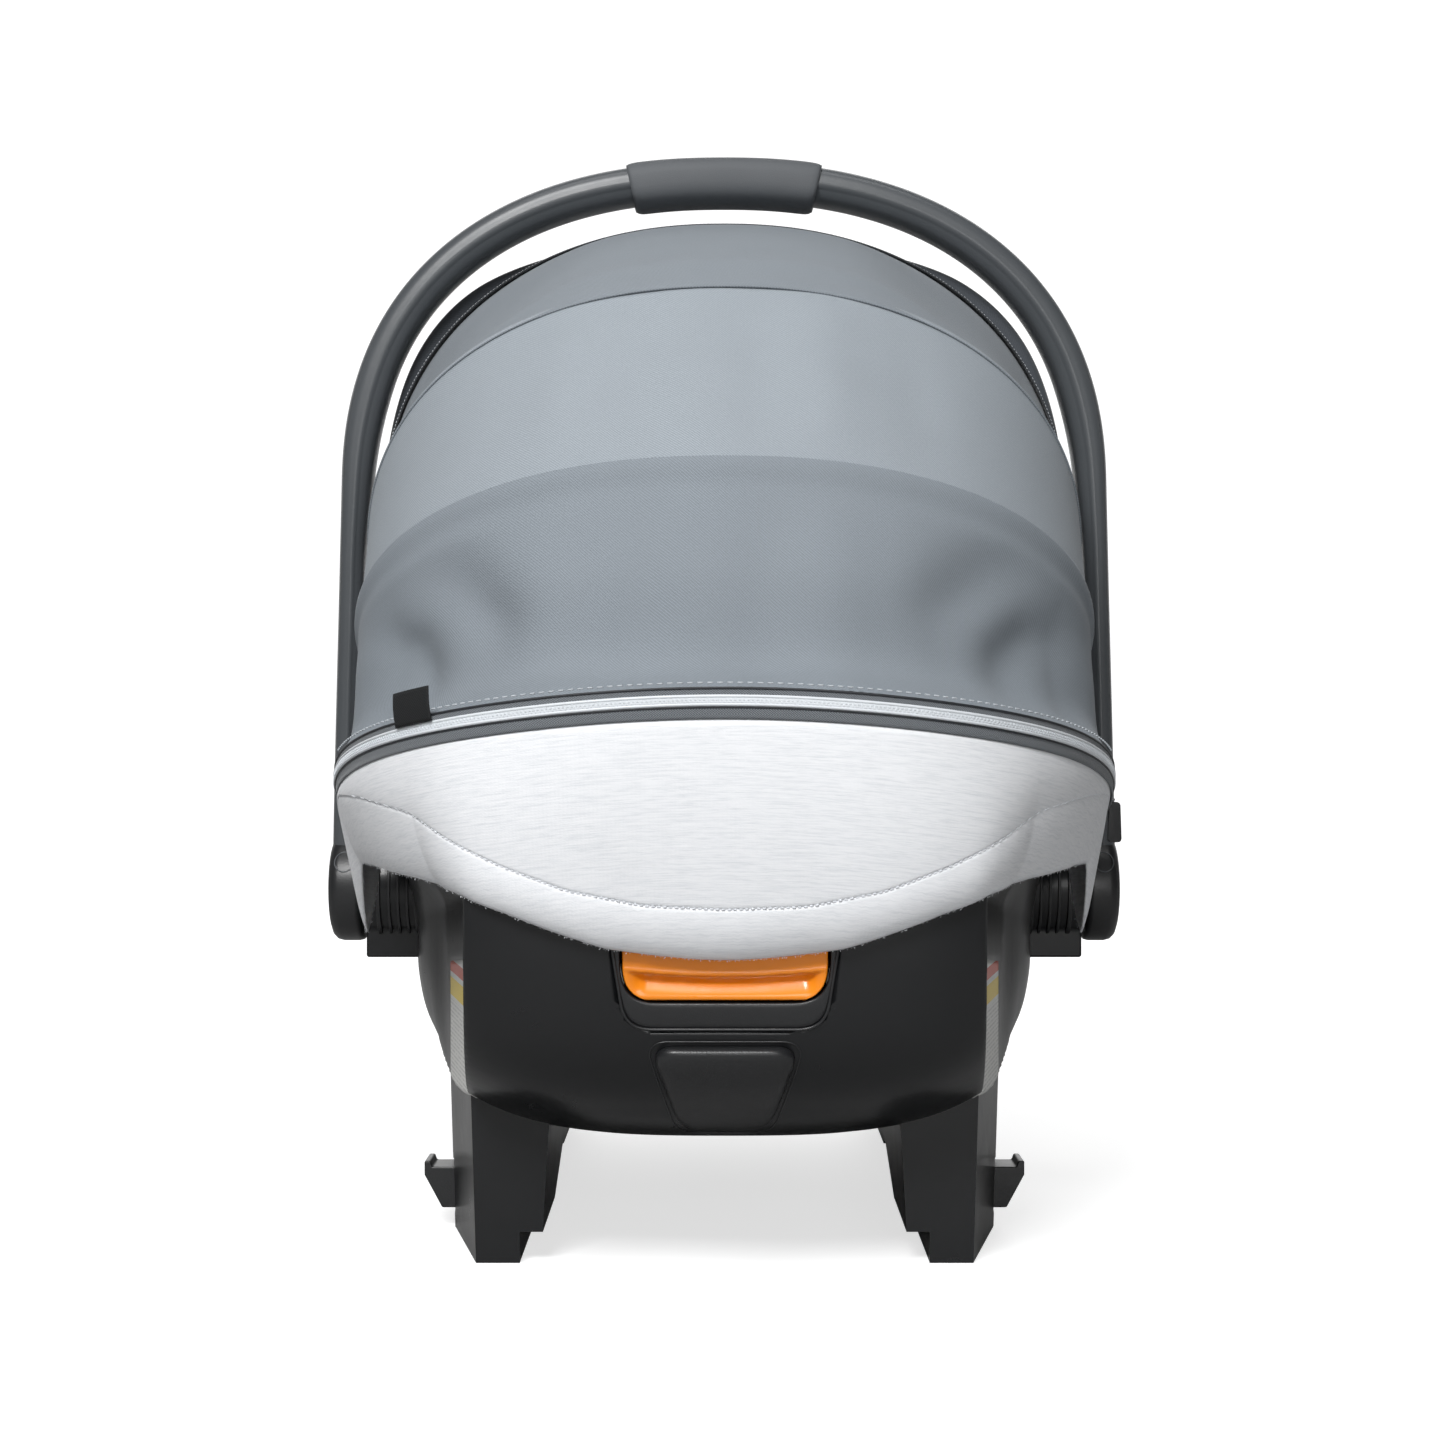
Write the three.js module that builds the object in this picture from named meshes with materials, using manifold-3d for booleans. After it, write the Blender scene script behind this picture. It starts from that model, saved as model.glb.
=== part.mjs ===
// Infant car seat (carrier) in millimetres, +Z up, head end towards -Y, foot end towards +Y.
// The origin is on the floor below the middle of the seat. "left" is -X, "right" is +X.
import * as THREE from 'three';
import { mergeVertices } from 'three/addons/utils/BufferGeometryUtils.js';
import Module from 'manifold-3d';

const wasm = await Module();
wasm.setup();

// ---------------------------------------------------------------- driving dimensions

const GAP = 0.4; // clearance between pieces that rest on each other
const COLUMNS = 40; // columns round every bowl
const CROWDING = 0.8; // how much closer the columns stand at the ends and the sides than at the corners
const PLAN_POWER = 3.1; // superellipse power of the bowls seen from above
const WAIST_LENGTH = 65; // how far the side waist of the shell reaches along Y

// The flat flanks that the lower shell and the rails share: |x| at mid length, then narrowing to the ends.
const FLANK = { side: 147, taper: 0.22, taperFrom: 100, taperTo: 215, endTaper: 0.07, blendFrom: 70, blendTo: 130 };

const RIM = { side: 195, headRise: 0.235, headDroop: 0.0001, footRise: 0.07, blend: 30 };

// A bowl is a stack of superellipse rows from its rim down to its floor.
const SHELL = {
  floor: 40,
  drop: 0,
  wall: 3,
  heights: [1, 0.86, 0.68, 0.5, 0.33, 0.2, 0.11, 0.04, 0],
  head: [318, 306, 300, 296, 286, 264, 228, 130, 0],
  side: [192, 172, 161, 158, 151, 138, 115, 60, 0],
  foot: [318, 306, 298, 290, 275, 250, 212, 120, 0],
  waist: [-16, -3, 8, 11, 11, 6, 0, 0, 0],
  flank: [0, 0.3, 1, 1, 1, 1, 1, 0, 0],
};
const LINER = {
  floor: 82,
  drop: 8,
  heights: [1, 0.8, 0.6, 0.4, 0.22, 0.1, 0.03, 0],
  head: [296, 270, 232, 185, 130, 80, 35, 0],
  side: [160, 154, 146, 134, 112, 80, 40, 0],
  foot: [293, 272, 243, 200, 145, 90, 40, 0],
};
const PAD = {
  floor: 97,
  drop: 8,
  heights: [1, 0.8, 0.6, 0.4, 0.22, 0.1, 0.03, 0],
  head: [283, 256, 216, 168, 114, 68, 30, 0],
  side: [147, 141, 133, 121, 98, 68, 34, 0],
  foot: [280, 258, 229, 186, 131, 78, 34, 0],
};

const HANDLE = {
  pivotZ: 164,
  halfWidth: 213,
  footHalfWidth: 217.5,
  springZ: 384,
  rise: 183.7,
  power: 2.3,
  armThickness: 14.5,
  topThickness: 20,
  depth: 36,
  hubRadius: 30,
  hubInner: 199,
};
const BUTTON = { radius: 13, inner: 211, outer: 219, pocketFloor: 206.3 };
const BOLT = { radius: 5, inner: 181, outer: 204.5 };
const GRIP = { halfLength: 54.5, thickness: 28.4, depth: 41, proud: 2.3 };
const HUB_BASE = { radius: 27, outer: 198, tabHalfWidth: 14, tabBottom: 125.6 };

// The canopy arch is measured in the plane through its pivot: x across, r out from the pivot.
const CANOPY = { pivotZ: 215, springR: 150, power: 2.2, legFrom: 62, fabric: 2, facet: 6 };
const REAR_GORE = { width: 183, reach: 310, from: 11, to: 31 };
const MID_GORE = { width: 186.5, reach: 313.5, from: 30, to: 54 };
const FRONT_GORE = { width: 190, reach: 317, from: 51.5, to: 91 };
const VISOR = { width: 188, reach: 315, from: 91.5, to: 97, thickness: 10, legFrom: 110 };
const RIM_ZIPPER = { width: 192, reach: 319, from: 87, to: 91, thickness: 1.7 };
const BOW = { thickness: 2.5, halfDepth: 4, discRadius: 12, angles: { rear: 29, mid: 52.5, front: 88.5 } };
const CANOPY_PIN = { radius: 3.4, inner: 177, plateInner: 191, plateOuter: 197, plateHalfDepth: 10 };

const SKIRT = { thickness: 2.6, topDrop: 3.6, bulge: 3 };
const ZIPPER = { inner: 6.4, outer: 8.2, bottom: -2.5, top: 9, endAngle: 81 };

const RAIL = {
  rearLeg: [-215, -129],
  frontLeg: [120, 200],
  notch: 18,
  notchHalfLength: 60,
  innerTop: 79.5,
  innerStep: 86,
  stepX: 97,
  stepRise: 14.7,
  draft: 4,
  top: 130,
};
const LATCH = { y: -120, halfWidth: 11.5, inner: 111, outer: 143, hook: 152, bottom: 10, top: 33.6, travel: 10 };
const LEVER = { halfWidth: 45.4, bottom: 133, top: 172, back: -270, corner: 18, recess: 1, travel: 8 };
const SCOOP = { halfWidth: 41, bottom: 135.5, top: 146, floor: -284 };
const BEZEL = { topHalfWidth: 53, bottomHalfWidth: 40, bottom: 120, top: 186, back: -266, corner: 12, wall: 2 };
const REAR_COVER = { topHalfWidth: 33, bottomHalfWidth: 19, bottom: 66, top: 112, proud: 4, corner: 5 };

const STRAP = { width: 36, thickness: 2, lift: 14, from: -178, to: -6.5, spread: 30 };
const BUCKLE = { y: 40, halfLength: 28, halfWidth: 25, lift: 13.4, height: 22, corner: 8 };
const BUCKLE_BUTTON = { halfWidth: 12, halfLength: 9, height: 6, travel: 3 };
const ADJUSTER = { y: 215, halfLength: 16, halfWidth: 22, height: 12, corner: 5 };
const ADJUSTER_BUTTON = { halfWidth: 9, halfLength: 8, height: 5, travel: 2 };

const PAINT = {
  shell: [0x17181a, 0.25],
  handle: [0x3d4043, 0.45],
  grip: [0x34373a, 0.7],
  foam: [0xe8e8e4, 0.9],
  jersey: [0xdfe1e4, 0.95],
  canopy: [0x7d858e, 0.85],
  visor: [0x43474c, 0.9],
  zipper: [0xd8dadd, 0.5],
  orange: [0xf08a1c, 0.3],
  webbing: [0x2b2d30, 0.8],
  plastic: [0x222427, 0.5],
  red: [0xc23a2b, 0.4],
  label: [0xe6e6e2, 0.6],
  steel: [0xb8babd, 0.35, 1],
};

// ---------------------------------------------------------------- small helpers

const { clamp, degToRad, lerp, smoothstep } = THREE.MathUtils;
const vec = (x, y, z) => new THREE.Vector3(x, y, z);
const power = (value, exponent) => Math.sign(value) * Math.abs(value) ** exponent;

function spread(count, from, to) {
  return Array.from({ length: count + 1 }, (_, i) => lerp(from, to, i / count));
}

function tableAt(values, row) {
  const low = Math.min(Math.floor(row), values.length - 2);
  return lerp(values[low], values[low + 1], row - low);
}

// Linear value at `where` through points given as [where, value] in rising order.
function through(points, where) {
  const next = Math.max(1, points.findIndex(([at]) => at >= where));
  const [from, start] = points[next - 1];
  const [to, end] = points[next];
  return lerp(start, end, (where - from) / (to - from));
}

// ---------------------------------------------------------------- solids

// Welds equal corners, drops collapsed faces and turns the faces outwards.
function closeUp(geometry) {
  const bare = new THREE.BufferGeometry();
  bare.setAttribute('position', geometry.attributes.position.clone());
  bare.setIndex(geometry.index ? Array.from(geometry.index.array) : null);
  const welded = mergeVertices(bare, 1e-3);
  const corners = welded.index.array;
  const at = (i) => new THREE.Vector3().fromBufferAttribute(welded.attributes.position, i);
  const faces = [];
  let volume = 0;
  for (let i = 0; i < corners.length; i += 3) {
    const [a, b, c] = [corners[i], corners[i + 1], corners[i + 2]];
    if (a !== b && b !== c && c !== a) {
      faces.push(a, b, c);
      volume += at(a).dot(at(b).cross(at(c)));
    }
  }
  welded.setIndex(volume < 0 ? faces.reverse() : faces);
  return welded;
}

// Triangles of a closed ring of points, wound the way the ring runs.
function capFaces(ring) {
  const centre = ring.reduce((sum, point) => sum.add(point), vec(0, 0, 0)).divideScalar(ring.length);
  const normal = vec(0, 0, 0);
  ring.forEach((point, i) => {
    const next = ring[(i + 1) % ring.length];
    normal.add(point.clone().sub(centre).cross(next.clone().sub(centre)));
  });
  normal.normalize();
  const across = vec(normal.y, normal.z, normal.x).cross(normal).normalize();
  const up = normal.clone().cross(across);
  const flat = ring.map((point) => {
    const arm = point.clone().sub(centre);
    return new THREE.Vector2(arm.dot(across), arm.dot(up));
  });
  const turn = ([a, b, c]) => flat[b].clone().sub(flat[a]).cross(flat[c].clone().sub(flat[a]));
  return THREE.ShapeUtils.triangulateShape(flat, []).map((face) => (turn(face) < 0 ? [...face].reverse() : face));
}

// Triangles of a thin ring that runs out along one edge and back along the other.
function ladderFaces(ring) {
  const last = ring.length - 1;
  return Array.from({ length: (last - 1) / 2 }, (_, i) => [
    [i, i + 1, last - i],
    [i + 1, last - i - 1, last - i],
  ]).flat();
}

// A solid through a row of rings with equal point counts, capped unless the row closes on itself.
// Every quad folds along its shorter diagonal, so mirrored and nested surfaces fold alike.
function loft(rings, closed = false, capWith = capFaces) {
  const size = rings[0].length;
  const points = rings.flat();
  const faces = [];
  const spans = closed ? rings.length : rings.length - 1;
  for (let i = 0; i < spans; i += 1) {
    const here = i * size;
    const there = ((i + 1) % rings.length) * size;
    for (let j = 0; j < size; j += 1) {
      const k = (j + 1) % size;
      const [a, b, c, d] = [here + j, there + j, there + k, here + k];
      const shorter = points[a].distanceToSquared(points[c]) <= points[b].distanceToSquared(points[d]);
      faces.push(...(shorter ? [a, b, c, a, c, d] : [a, b, d, b, c, d]));
    }
  }
  if (!closed) {
    const last = (rings.length - 1) * size;
    capWith(rings[0]).forEach(([a, b, c]) => faces.push(a, b, c));
    capWith(rings.at(-1)).forEach(([a, b, c]) => faces.push(last + c, last + b, last + a));
  }
  const geometry = new THREE.BufferGeometry();
  const numbers = points.flatMap((point) => point.toArray());
  geometry.setAttribute('position', new THREE.Float32BufferAttribute(numbers, 3));
  geometry.setIndex(faces);
  return closeUp(geometry);
}

function toManifold(geometry) {
  const { attributes, index } = closeUp(geometry);
  const mesh = new wasm.Mesh({
    numProp: 3,
    vertProperties: new Float32Array(attributes.position.array),
    triVerts: new Uint32Array(index.array),
  });
  return new wasm.Manifold(mesh);
}

function fromManifold(solid) {
  const { vertProperties, triVerts } = solid.getMesh();
  const geometry = new THREE.BufferGeometry();
  geometry.setAttribute('position', new THREE.Float32BufferAttribute(vertProperties, 3));
  geometry.setIndex(Array.from(triVerts));
  return closeUp(geometry);
}

function cut(geometry, ...tools) {
  return fromManifold(tools.reduce((solid, tool) => solid.subtract(toManifold(tool)), toManifold(geometry)));
}

function join(geometry, ...others) {
  return fromManifold(others.reduce((solid, other) => solid.add(toManifold(other)), toManifold(geometry)));
}

function common(geometry, other) {
  return fromManifold(toManifold(geometry).intersect(toManifold(other)));
}

function mirrored(geometry) {
  return closeUp(geometry.clone().applyMatrix4(new THREE.Matrix4().makeScale(-1, 1, 1)));
}

// ---------------------------------------------------------------- flat outlines and plates

// A closed outline through corners, each rounded by `radius`.
function outline(corners, radius = 0) {
  const points = corners.map(([x, y]) => new THREE.Vector2(x, y));
  const shape = new THREE.Shape();
  points.forEach((corner, i) => {
    const before = points.at(i - 1).clone().sub(corner).setLength(radius).add(corner);
    const after = points[(i + 1) % points.length].clone().sub(corner).setLength(radius).add(corner);
    if (i === 0) {
      shape.moveTo(before.x, before.y);
    } else {
      shape.lineTo(before.x, before.y);
    }
    if (radius > 0) {
      shape.quadraticCurveTo(corner.x, corner.y, after.x, after.y);
    }
  });
  return shape;
}

function rectangle(x0, x1, y0, y1, radius = 0) {
  return outline([[x0, y0], [x1, y0], [x1, y1], [x0, y1]], radius);
}

function disc(x, y, radius) {
  return new THREE.Shape().absarc(x, y, radius, 0, 2 * Math.PI);
}

function extrude(shape, depth, curveSegments = 3) {
  return new THREE.ExtrudeGeometry(shape, { depth, bevelEnabled: false, curveSegments });
}

// A plate between x0 and x1 whose outline is drawn in (y, z).
function plateX(shape, x0, x1, curveSegments) {
  const turn = new THREE.Matrix4().makeBasis(vec(0, 1, 0), vec(0, 0, 1), vec(1, 0, 0));
  return closeUp(extrude(shape, x1 - x0, curveSegments).applyMatrix4(turn.setPosition(x0, 0, 0)));
}

// A plate between y0 and y1 whose outline is drawn in (x, z).
function plateY(shape, y0, y1, curveSegments) {
  const turn = new THREE.Matrix4().makeBasis(vec(1, 0, 0), vec(0, 0, 1), vec(0, -1, 0));
  return closeUp(extrude(shape, y1 - y0, curveSegments).applyMatrix4(turn.setPosition(0, y1, 0)));
}

function rodX(y, z, radius, x0, x1, sides = 24) {
  return plateX(disc(y, z, radius), x0, x1, sides / 2);
}

// ---------------------------------------------------------------- bowls

function rimHeight(y) {
  const reach = Math.hypot(y, RIM.blend) - RIM.blend;
  return y > 0 ? RIM.side + RIM.footRise * reach : RIM.side + RIM.headRise * reach - RIM.headDroop * y * y;
}

function flankX(y) {
  const run = Math.abs(y) - FLANK.taperFrom;
  const knee = FLANK.taperTo - FLANK.taperFrom;
  return FLANK.side - FLANK.taper * clamp(run, 0, knee) - FLANK.endTaper * Math.max(0, run - knee);
}

// Pulls a point of the lower shell's head half in to the flank.
function flatten(x, y, share) {
  const reach = share * smoothstep(-y, FLANK.blendFrom, FLANK.blendTo);
  return x - Math.sign(x) * reach * Math.max(0, Math.abs(x) - flankX(y));
}

// Point on a bowl: `angle` runs round from the head end, `row` from the rim (0) to the floor.
function bowlBase(bowl, angle, row) {
  const across = power(Math.sin(angle), 2 / PLAN_POWER);
  const along = -power(Math.cos(angle), 2 / PLAN_POWER);
  const ends = along < 0 ? bowl.head : bowl.foot;
  const y = along * tableAt(ends, row);
  const waist = bowl.waist ? tableAt(bowl.waist, row) * Math.exp(-((y / WAIST_LENGTH) ** 2)) : 0;
  const rim = rimHeight(along * ends[0]) - bowl.drop;
  const z = lerp(bowl.floor, rim, tableAt(bowl.heights, row));
  const x = across * (tableAt(bowl.side, row) + waist);
  return vec(bowl.flank ? flatten(x, y, tableAt(bowl.flank, row)) : x, y, z);
}

function bowlPoint(bowl, angle, row, offset = 0) {
  const last = bowl.heights.length - 1;
  if (row > last - 0.01) {
    return vec(0, 0, bowl.floor - offset);
  }
  const across = bowlBase(bowl, angle + 0.02, row).sub(bowlBase(bowl, angle - 0.02, row));
  const down = bowlBase(bowl, angle, Math.min(row + 0.5, last)).sub(bowlBase(bowl, angle, Math.max(row - 0.5, 0)));
  const normal = down.cross(across);
  normal.z = row === 0 ? 0 : normal.z;
  return bowlBase(bowl, angle, row).addScaledVector(normal.normalize(), offset);
}

function bowlRows(bowl, angle, offset, from = 0) {
  const last = bowl.heights.length - 1;
  const rows = [from, ...spread(last, 0, last).filter((row) => row > from)];
  return rows.map((row) => bowlPoint(bowl, angle, row, offset));
}

const ROUND = spread(COLUMNS, 0, 2 * Math.PI)
  .slice(0, COLUMNS)
  .map((turn) => turn - (CROWDING / 4) * Math.sin(4 * turn));

// The bowls' own columns between two angles, where negative angles lie on the left.
function columnsBetween(from, to) {
  return [...ROUND.map((angle) => angle - 2 * Math.PI), ...ROUND].filter((angle) => angle > from && angle < to);
}

// A closed skin between an outer and an inner column of points, swept once round.
function bowlSkin(outerColumn, innerColumn) {
  return loft(ROUND.map((angle) => [...outerColumn(angle), ...innerColumn(angle).reverse()]), true);
}

// The space inside a bowl, closed by a cone over the rim.
function bowlVolume(bowl, offset) {
  const apex = vec(0, 0, 300);
  return loft(ROUND.map((angle) => [apex, ...bowlRows(bowl, angle, offset)]), true);
}

// Point beside the shell's rim: `out` level with the ground, `up` above the rim.
function rimPoint(angle, out, up) {
  const tangent = bowlBase(SHELL, angle + 0.02, 0).sub(bowlBase(SHELL, angle - 0.02, 0));
  const outward = vec(tangent.y, -tangent.x, 0).normalize();
  return bowlBase(SHELL, angle, 0).addScaledVector(outward, out).add(vec(0, 0, up));
}

// Column angle at which the rim lies in the direction (x, -y) from the middle.
function rimAngle(x, y) {
  const slope = (Math.abs(x) / SHELL.side[0]) * (SHELL.head[0] / y);
  return Math.sign(x) * Math.atan(slope ** (PLAN_POWER / 2));
}

// Height of the seat pad's surface over the point (x, y).
function seatZ(x, y) {
  const ends = y < 0 ? PAD.head : PAD.foot;
  const inside = (row) => {
    const fill = (Math.abs(x) / tableAt(PAD.side, row)) ** PLAN_POWER + (Math.abs(y) / tableAt(ends, row)) ** PLAN_POWER;
    return fill < 1;
  };
  let [low, high] = [0, PAD.heights.length - 1.001];
  for (let i = 0; i < 30; i += 1) {
    const middle = (low + high) / 2;
    [low, high] = inside(middle) ? [middle, high] : [low, middle];
  }
  const rim = rimHeight((y * ends[0]) / tableAt(ends, low)) - PAD.drop;
  return lerp(PAD.floor, rim, tableAt(PAD.heights, low));
}

function seatNormal(x, y) {
  const step = 12;
  const slopeX = (seatZ(x + step, y) - seatZ(x - step, y)) / (2 * step);
  const slopeY = (seatZ(x, y + step) - seatZ(x, y - step)) / (2 * step);
  return vec(-slopeX, -slopeY, 1).normalize();
}

function seatPoint(x, y, lift) {
  return vec(x, y, seatZ(x, y)).addScaledVector(seatNormal(x, y), lift);
}

// Frame on the middle line of the seat: local z is the seat's normal, local y runs to the feet.
function seatFrame(y, lift) {
  const normal = seatNormal(0, y);
  const side = vec(1, 0, 0);
  return new THREE.Matrix4().makeBasis(side, normal.clone().cross(side), normal).setPosition(seatPoint(0, y, lift));
}

// ---------------------------------------------------------------- scene graph

const materials = {};
function materialFor(name) {
  const [color, roughness, metalness = 0] = PAINT[name];
  materials[name] ??= new THREE.MeshStandardMaterial({ color, roughness, metalness });
  return materials[name];
}

const seat = new THREE.Group();
const handleGroup = new THREE.Group();
handleGroup.position.z = HANDLE.pivotZ;
const canopyGroup = new THREE.Group();
canopyGroup.position.z = CANOPY.pivotZ;
seat.add(handleGroup, canopyGroup);

function add(name, geometry, paint, group = seat) {
  const mesh = new THREE.Mesh(geometry, materialFor(paint).clone());
  mesh.name = name;
  group.add(mesh);
}

// The right-hand piece and its mirror image.
function addPair(name, geometry, paint, group = seat) {
  add(`right_${name}`, geometry, paint, group);
  add(`left_${name}`, mirrored(geometry), paint, group);
}

// ---------------------------------------------------------------- shell, liner and rails

const shellVolume = (offset) => bowlVolume(SHELL, offset);

function bezelOutline(margin) {
  const [top, bottom] = [BEZEL.topHalfWidth + margin, BEZEL.bottomHalfWidth + margin];
  const [low, high] = [BEZEL.bottom - margin, BEZEL.top + margin];
  return outline([[-bottom, low], [bottom, low], [top, high], [-top, high]], BEZEL.corner);
}

function shell() {
  const outer = (angle) => bowlRows(SHELL, angle, 0);
  const inner = (angle) => bowlRows(SHELL, angle, -SHELL.wall);
  return cut(bowlSkin(outer, inner), plateY(bezelOutline(GAP), -330, -250));
}

function foamLiner() {
  const outer = (angle) => bowlRows(SHELL, angle, -SHELL.wall - 1, 0.45);
  const inner = (angle) => bowlRows(LINER, angle, 0);
  return cut(bowlSkin(outer, inner), plateY(bezelOutline(1), -330, BEZEL.back + 1));
}

function railBottom(y) {
  const [rearEnd, rearStart] = RAIL.rearLeg;
  const [frontStart, frontEnd] = RAIL.frontLeg;
  const { notch, notchHalfLength } = RAIL;
  return through([
    [rearEnd, 0],
    [rearStart, 0],
    [-notchHalfLength, notch],
    [notchHalfLength, notch],
    [frontStart, 0],
    [frontEnd, 0],
  ], y);
}

function railSection(y) {
  const outer = flankX(y);
  const bottom = railBottom(y);
  return [
    vec(RAIL.innerTop, y, RAIL.top),
    vec(RAIL.innerStep, y, bottom + RAIL.stepRise),
    vec(RAIL.stepX, y, bottom + RAIL.stepRise),
    vec(RAIL.stepX, y, bottom),
    vec(outer - RAIL.draft, y, bottom),
    vec(outer, y, RAIL.top),
  ];
}

function footRail() {
  const [rearEnd, rearStart] = RAIL.rearLeg;
  const [frontStart, frontEnd] = RAIL.frontLeg;
  const stations = [rearEnd, -172, rearStart, -RAIL.notchHalfLength, 0, RAIL.notchHalfLength, frontStart, 160, frontEnd];
  const slotHalf = LATCH.halfWidth + 0.5;
  const slot = rectangle(LATCH.y - slotHalf, LATCH.y + slotHalf, LATCH.bottom - 3, LATCH.top + 1.4);
  const slotFrom = LATCH.inner - LATCH.travel - 1.5;
  return cut(loft(stations.map(railSection)), shellVolume(GAP), plateX(slot, slotFrom, 200));
}

function latchBolt() {
  const { bottom, top, inner, outer, hook } = LATCH;
  const profile = outline([
    [inner, bottom],
    [outer, bottom],
    [hook, top - 7],
    [hook, top],
    [hook - 3, top],
    [hook - 4, top - 3],
    [inner, top - 3],
  ]);
  return plateY(profile, LATCH.y - LATCH.halfWidth, LATCH.y + LATCH.halfWidth);
}

function bezel() {
  const body = common(plateY(bezelOutline(0), -330, BEZEL.back), shellVolume(0));
  const side = LEVER.halfWidth + 1;
  const pocket = rectangle(-side, side, LEVER.bottom - 1.4, LEVER.top + LEVER.travel + 1, LEVER.corner);
  return cut(body, plateY(pocket, -330, BEZEL.back - BEZEL.wall));
}

function releaseLever() {
  const face = rectangle(-LEVER.halfWidth, LEVER.halfWidth, LEVER.bottom, LEVER.top, LEVER.corner);
  const body = common(plateY(face, -330, LEVER.back), shellVolume(-LEVER.recess));
  const scoop = rectangle(-SCOOP.halfWidth, SCOOP.halfWidth, SCOOP.bottom, SCOOP.top, 4);
  return cut(body, plateY(scoop, -330, SCOOP.floor));
}

function rearCover() {
  const { topHalfWidth, bottomHalfWidth, bottom, top } = REAR_COVER;
  const shape = outline(
    [[-bottomHalfWidth, bottom], [bottomHalfWidth, bottom], [topHalfWidth, top], [-topHalfWidth, top]],
    REAR_COVER.corner,
  );
  const slab = common(plateY(shape, -330, -200), shellVolume(REAR_COVER.proud));
  return cut(slab, shellVolume(GAP));
}

function sideLabel() {
  const columns = spread(3, degToRad(50), degToRad(68));
  const rows = spread(2, 2.6, 3.9);
  const rings = columns.map((angle) => [
    ...rows.map((row) => bowlPoint(SHELL, angle, row, 1)),
    ...rows.map((row) => bowlPoint(SHELL, angle, row, -1)).reverse(),
  ]);
  return cut(loft(rings), shellVolume(0.35));
}

// A hook on the side of the shell that holds the vehicle's lap belt.
function beltGuide() {
  const hook = outline([
    [82, 160],
    [128, 160],
    [128, 191],
    [120, 191],
    [120, 171],
    [90, 171],
    [90, 181],
    [82, 181],
  ]);
  return cut(plateX(hook, 160, 196), shellVolume(GAP));
}

// ---------------------------------------------------------------- seat pad, skirts and rear zip

// The cover: a padded bowl whose edge rolls over the rim of the shell.
function seatPad() {
  const roll = (angle, fraction, out, up) => {
    const inside = bowlBase(PAD, angle, 0);
    const point = rimPoint(angle, out, up);
    return vec(lerp(inside.x, point.x, fraction), lerp(inside.y, point.y, fraction), point.z);
  };
  const over = [[0, 0, 2], [0.15, 0, 7], [0.5, 0, 8.5], [0.85, 0, 8], [1, 3, 6], [1, 6, 1], [1, 6, -3]];
  const under = [[1, 3.2, -3], [1, 2.4, -1], [1, 0.8, 0.8], [0.9, 0, 1], [0.5, 0, -2], [0.32, 0, -7.4]];
  const outer = (angle) => [
    ...over.map(([fraction, out, up]) => roll(angle, fraction, out, up)),
    ...under.map(([fraction, out, up]) => roll(angle, fraction, out, up)),
    ...bowlRows(LINER, angle, -0.6),
  ];
  const inner = (angle) => bowlRows(PAD, angle, 0);
  return bowlSkin(outer, inner);
}

// A cloth skirt that hangs from the rim: `hem` gives its lower edge as [height, out] for an angle.
function skirt(angles, hem) {
  const rows = spread(4, 0, 1);
  const side = (angle, inset) => rows.map((row) => {
    const [hemZ, hemOut] = hem(angle);
    const topOut = 6 + Math.abs(Math.cos(angle));
    const bulge = SKIRT.bulge * Math.cos(angle) ** 2 * Math.sin(Math.PI * row);
    const out = lerp(topOut, hemOut, row ** 1.2) + bulge - inset;
    const rim = rimPoint(angle, out, -SKIRT.topDrop);
    return rim.setZ(lerp(rim.z, hemZ, row));
  });
  return loft(angles.map((angle) => [...side(angle, 0), ...side(angle, SKIRT.thickness).reverse()]));
}

function rearSkirt() {
  const hemHeight = [
    [0, 151],
    [8, 156],
    [21, 171.6],
    [29, 179],
    [42, 184],
    [50.5, 185.5],
    [62, 187],
    [70.5, 186],
    [75, 165],
    [79, 146],
    [82, 155],
    [85.4, 188],
  ];
  const hemOut = [[0, -17], [21, -15], [42, -12], [60, -8], [70, -4], [90, -4]];
  const half = hemHeight.map(([angle]) => angle);
  const angles = [...half.slice(1).reverse().map((angle) => -angle), ...half];
  const hem = (angle) => {
    const degrees = Math.abs(THREE.MathUtils.radToDeg(angle));
    return [through(hemHeight, degrees), through(hemOut, degrees)];
  };
  return skirt(angles.map(degToRad), hem);
}

function frontSkirt() {
  const angles = spread(16, degToRad(118), degToRad(242));
  return skirt(angles, (angle) => [rimPoint(angle, 0, -26).z, -1]);
}

function rearZipper() {
  const end = degToRad(ZIPPER.endAngle);
  const rings = columnsBetween(-end, end).map((angle) => [
    rimPoint(angle, ZIPPER.outer, ZIPPER.bottom),
    rimPoint(angle, ZIPPER.outer, ZIPPER.top),
    rimPoint(angle, ZIPPER.inner, ZIPPER.top),
    rimPoint(angle, ZIPPER.inner, ZIPPER.bottom),
  ]);
  return loft(rings);
}

function zipperSlider() {
  return plateX(rectangle(-99, -86, 203, 217, 3), 195, 198.3);
}

// ---------------------------------------------------------------- handle, relative to its pivot

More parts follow.
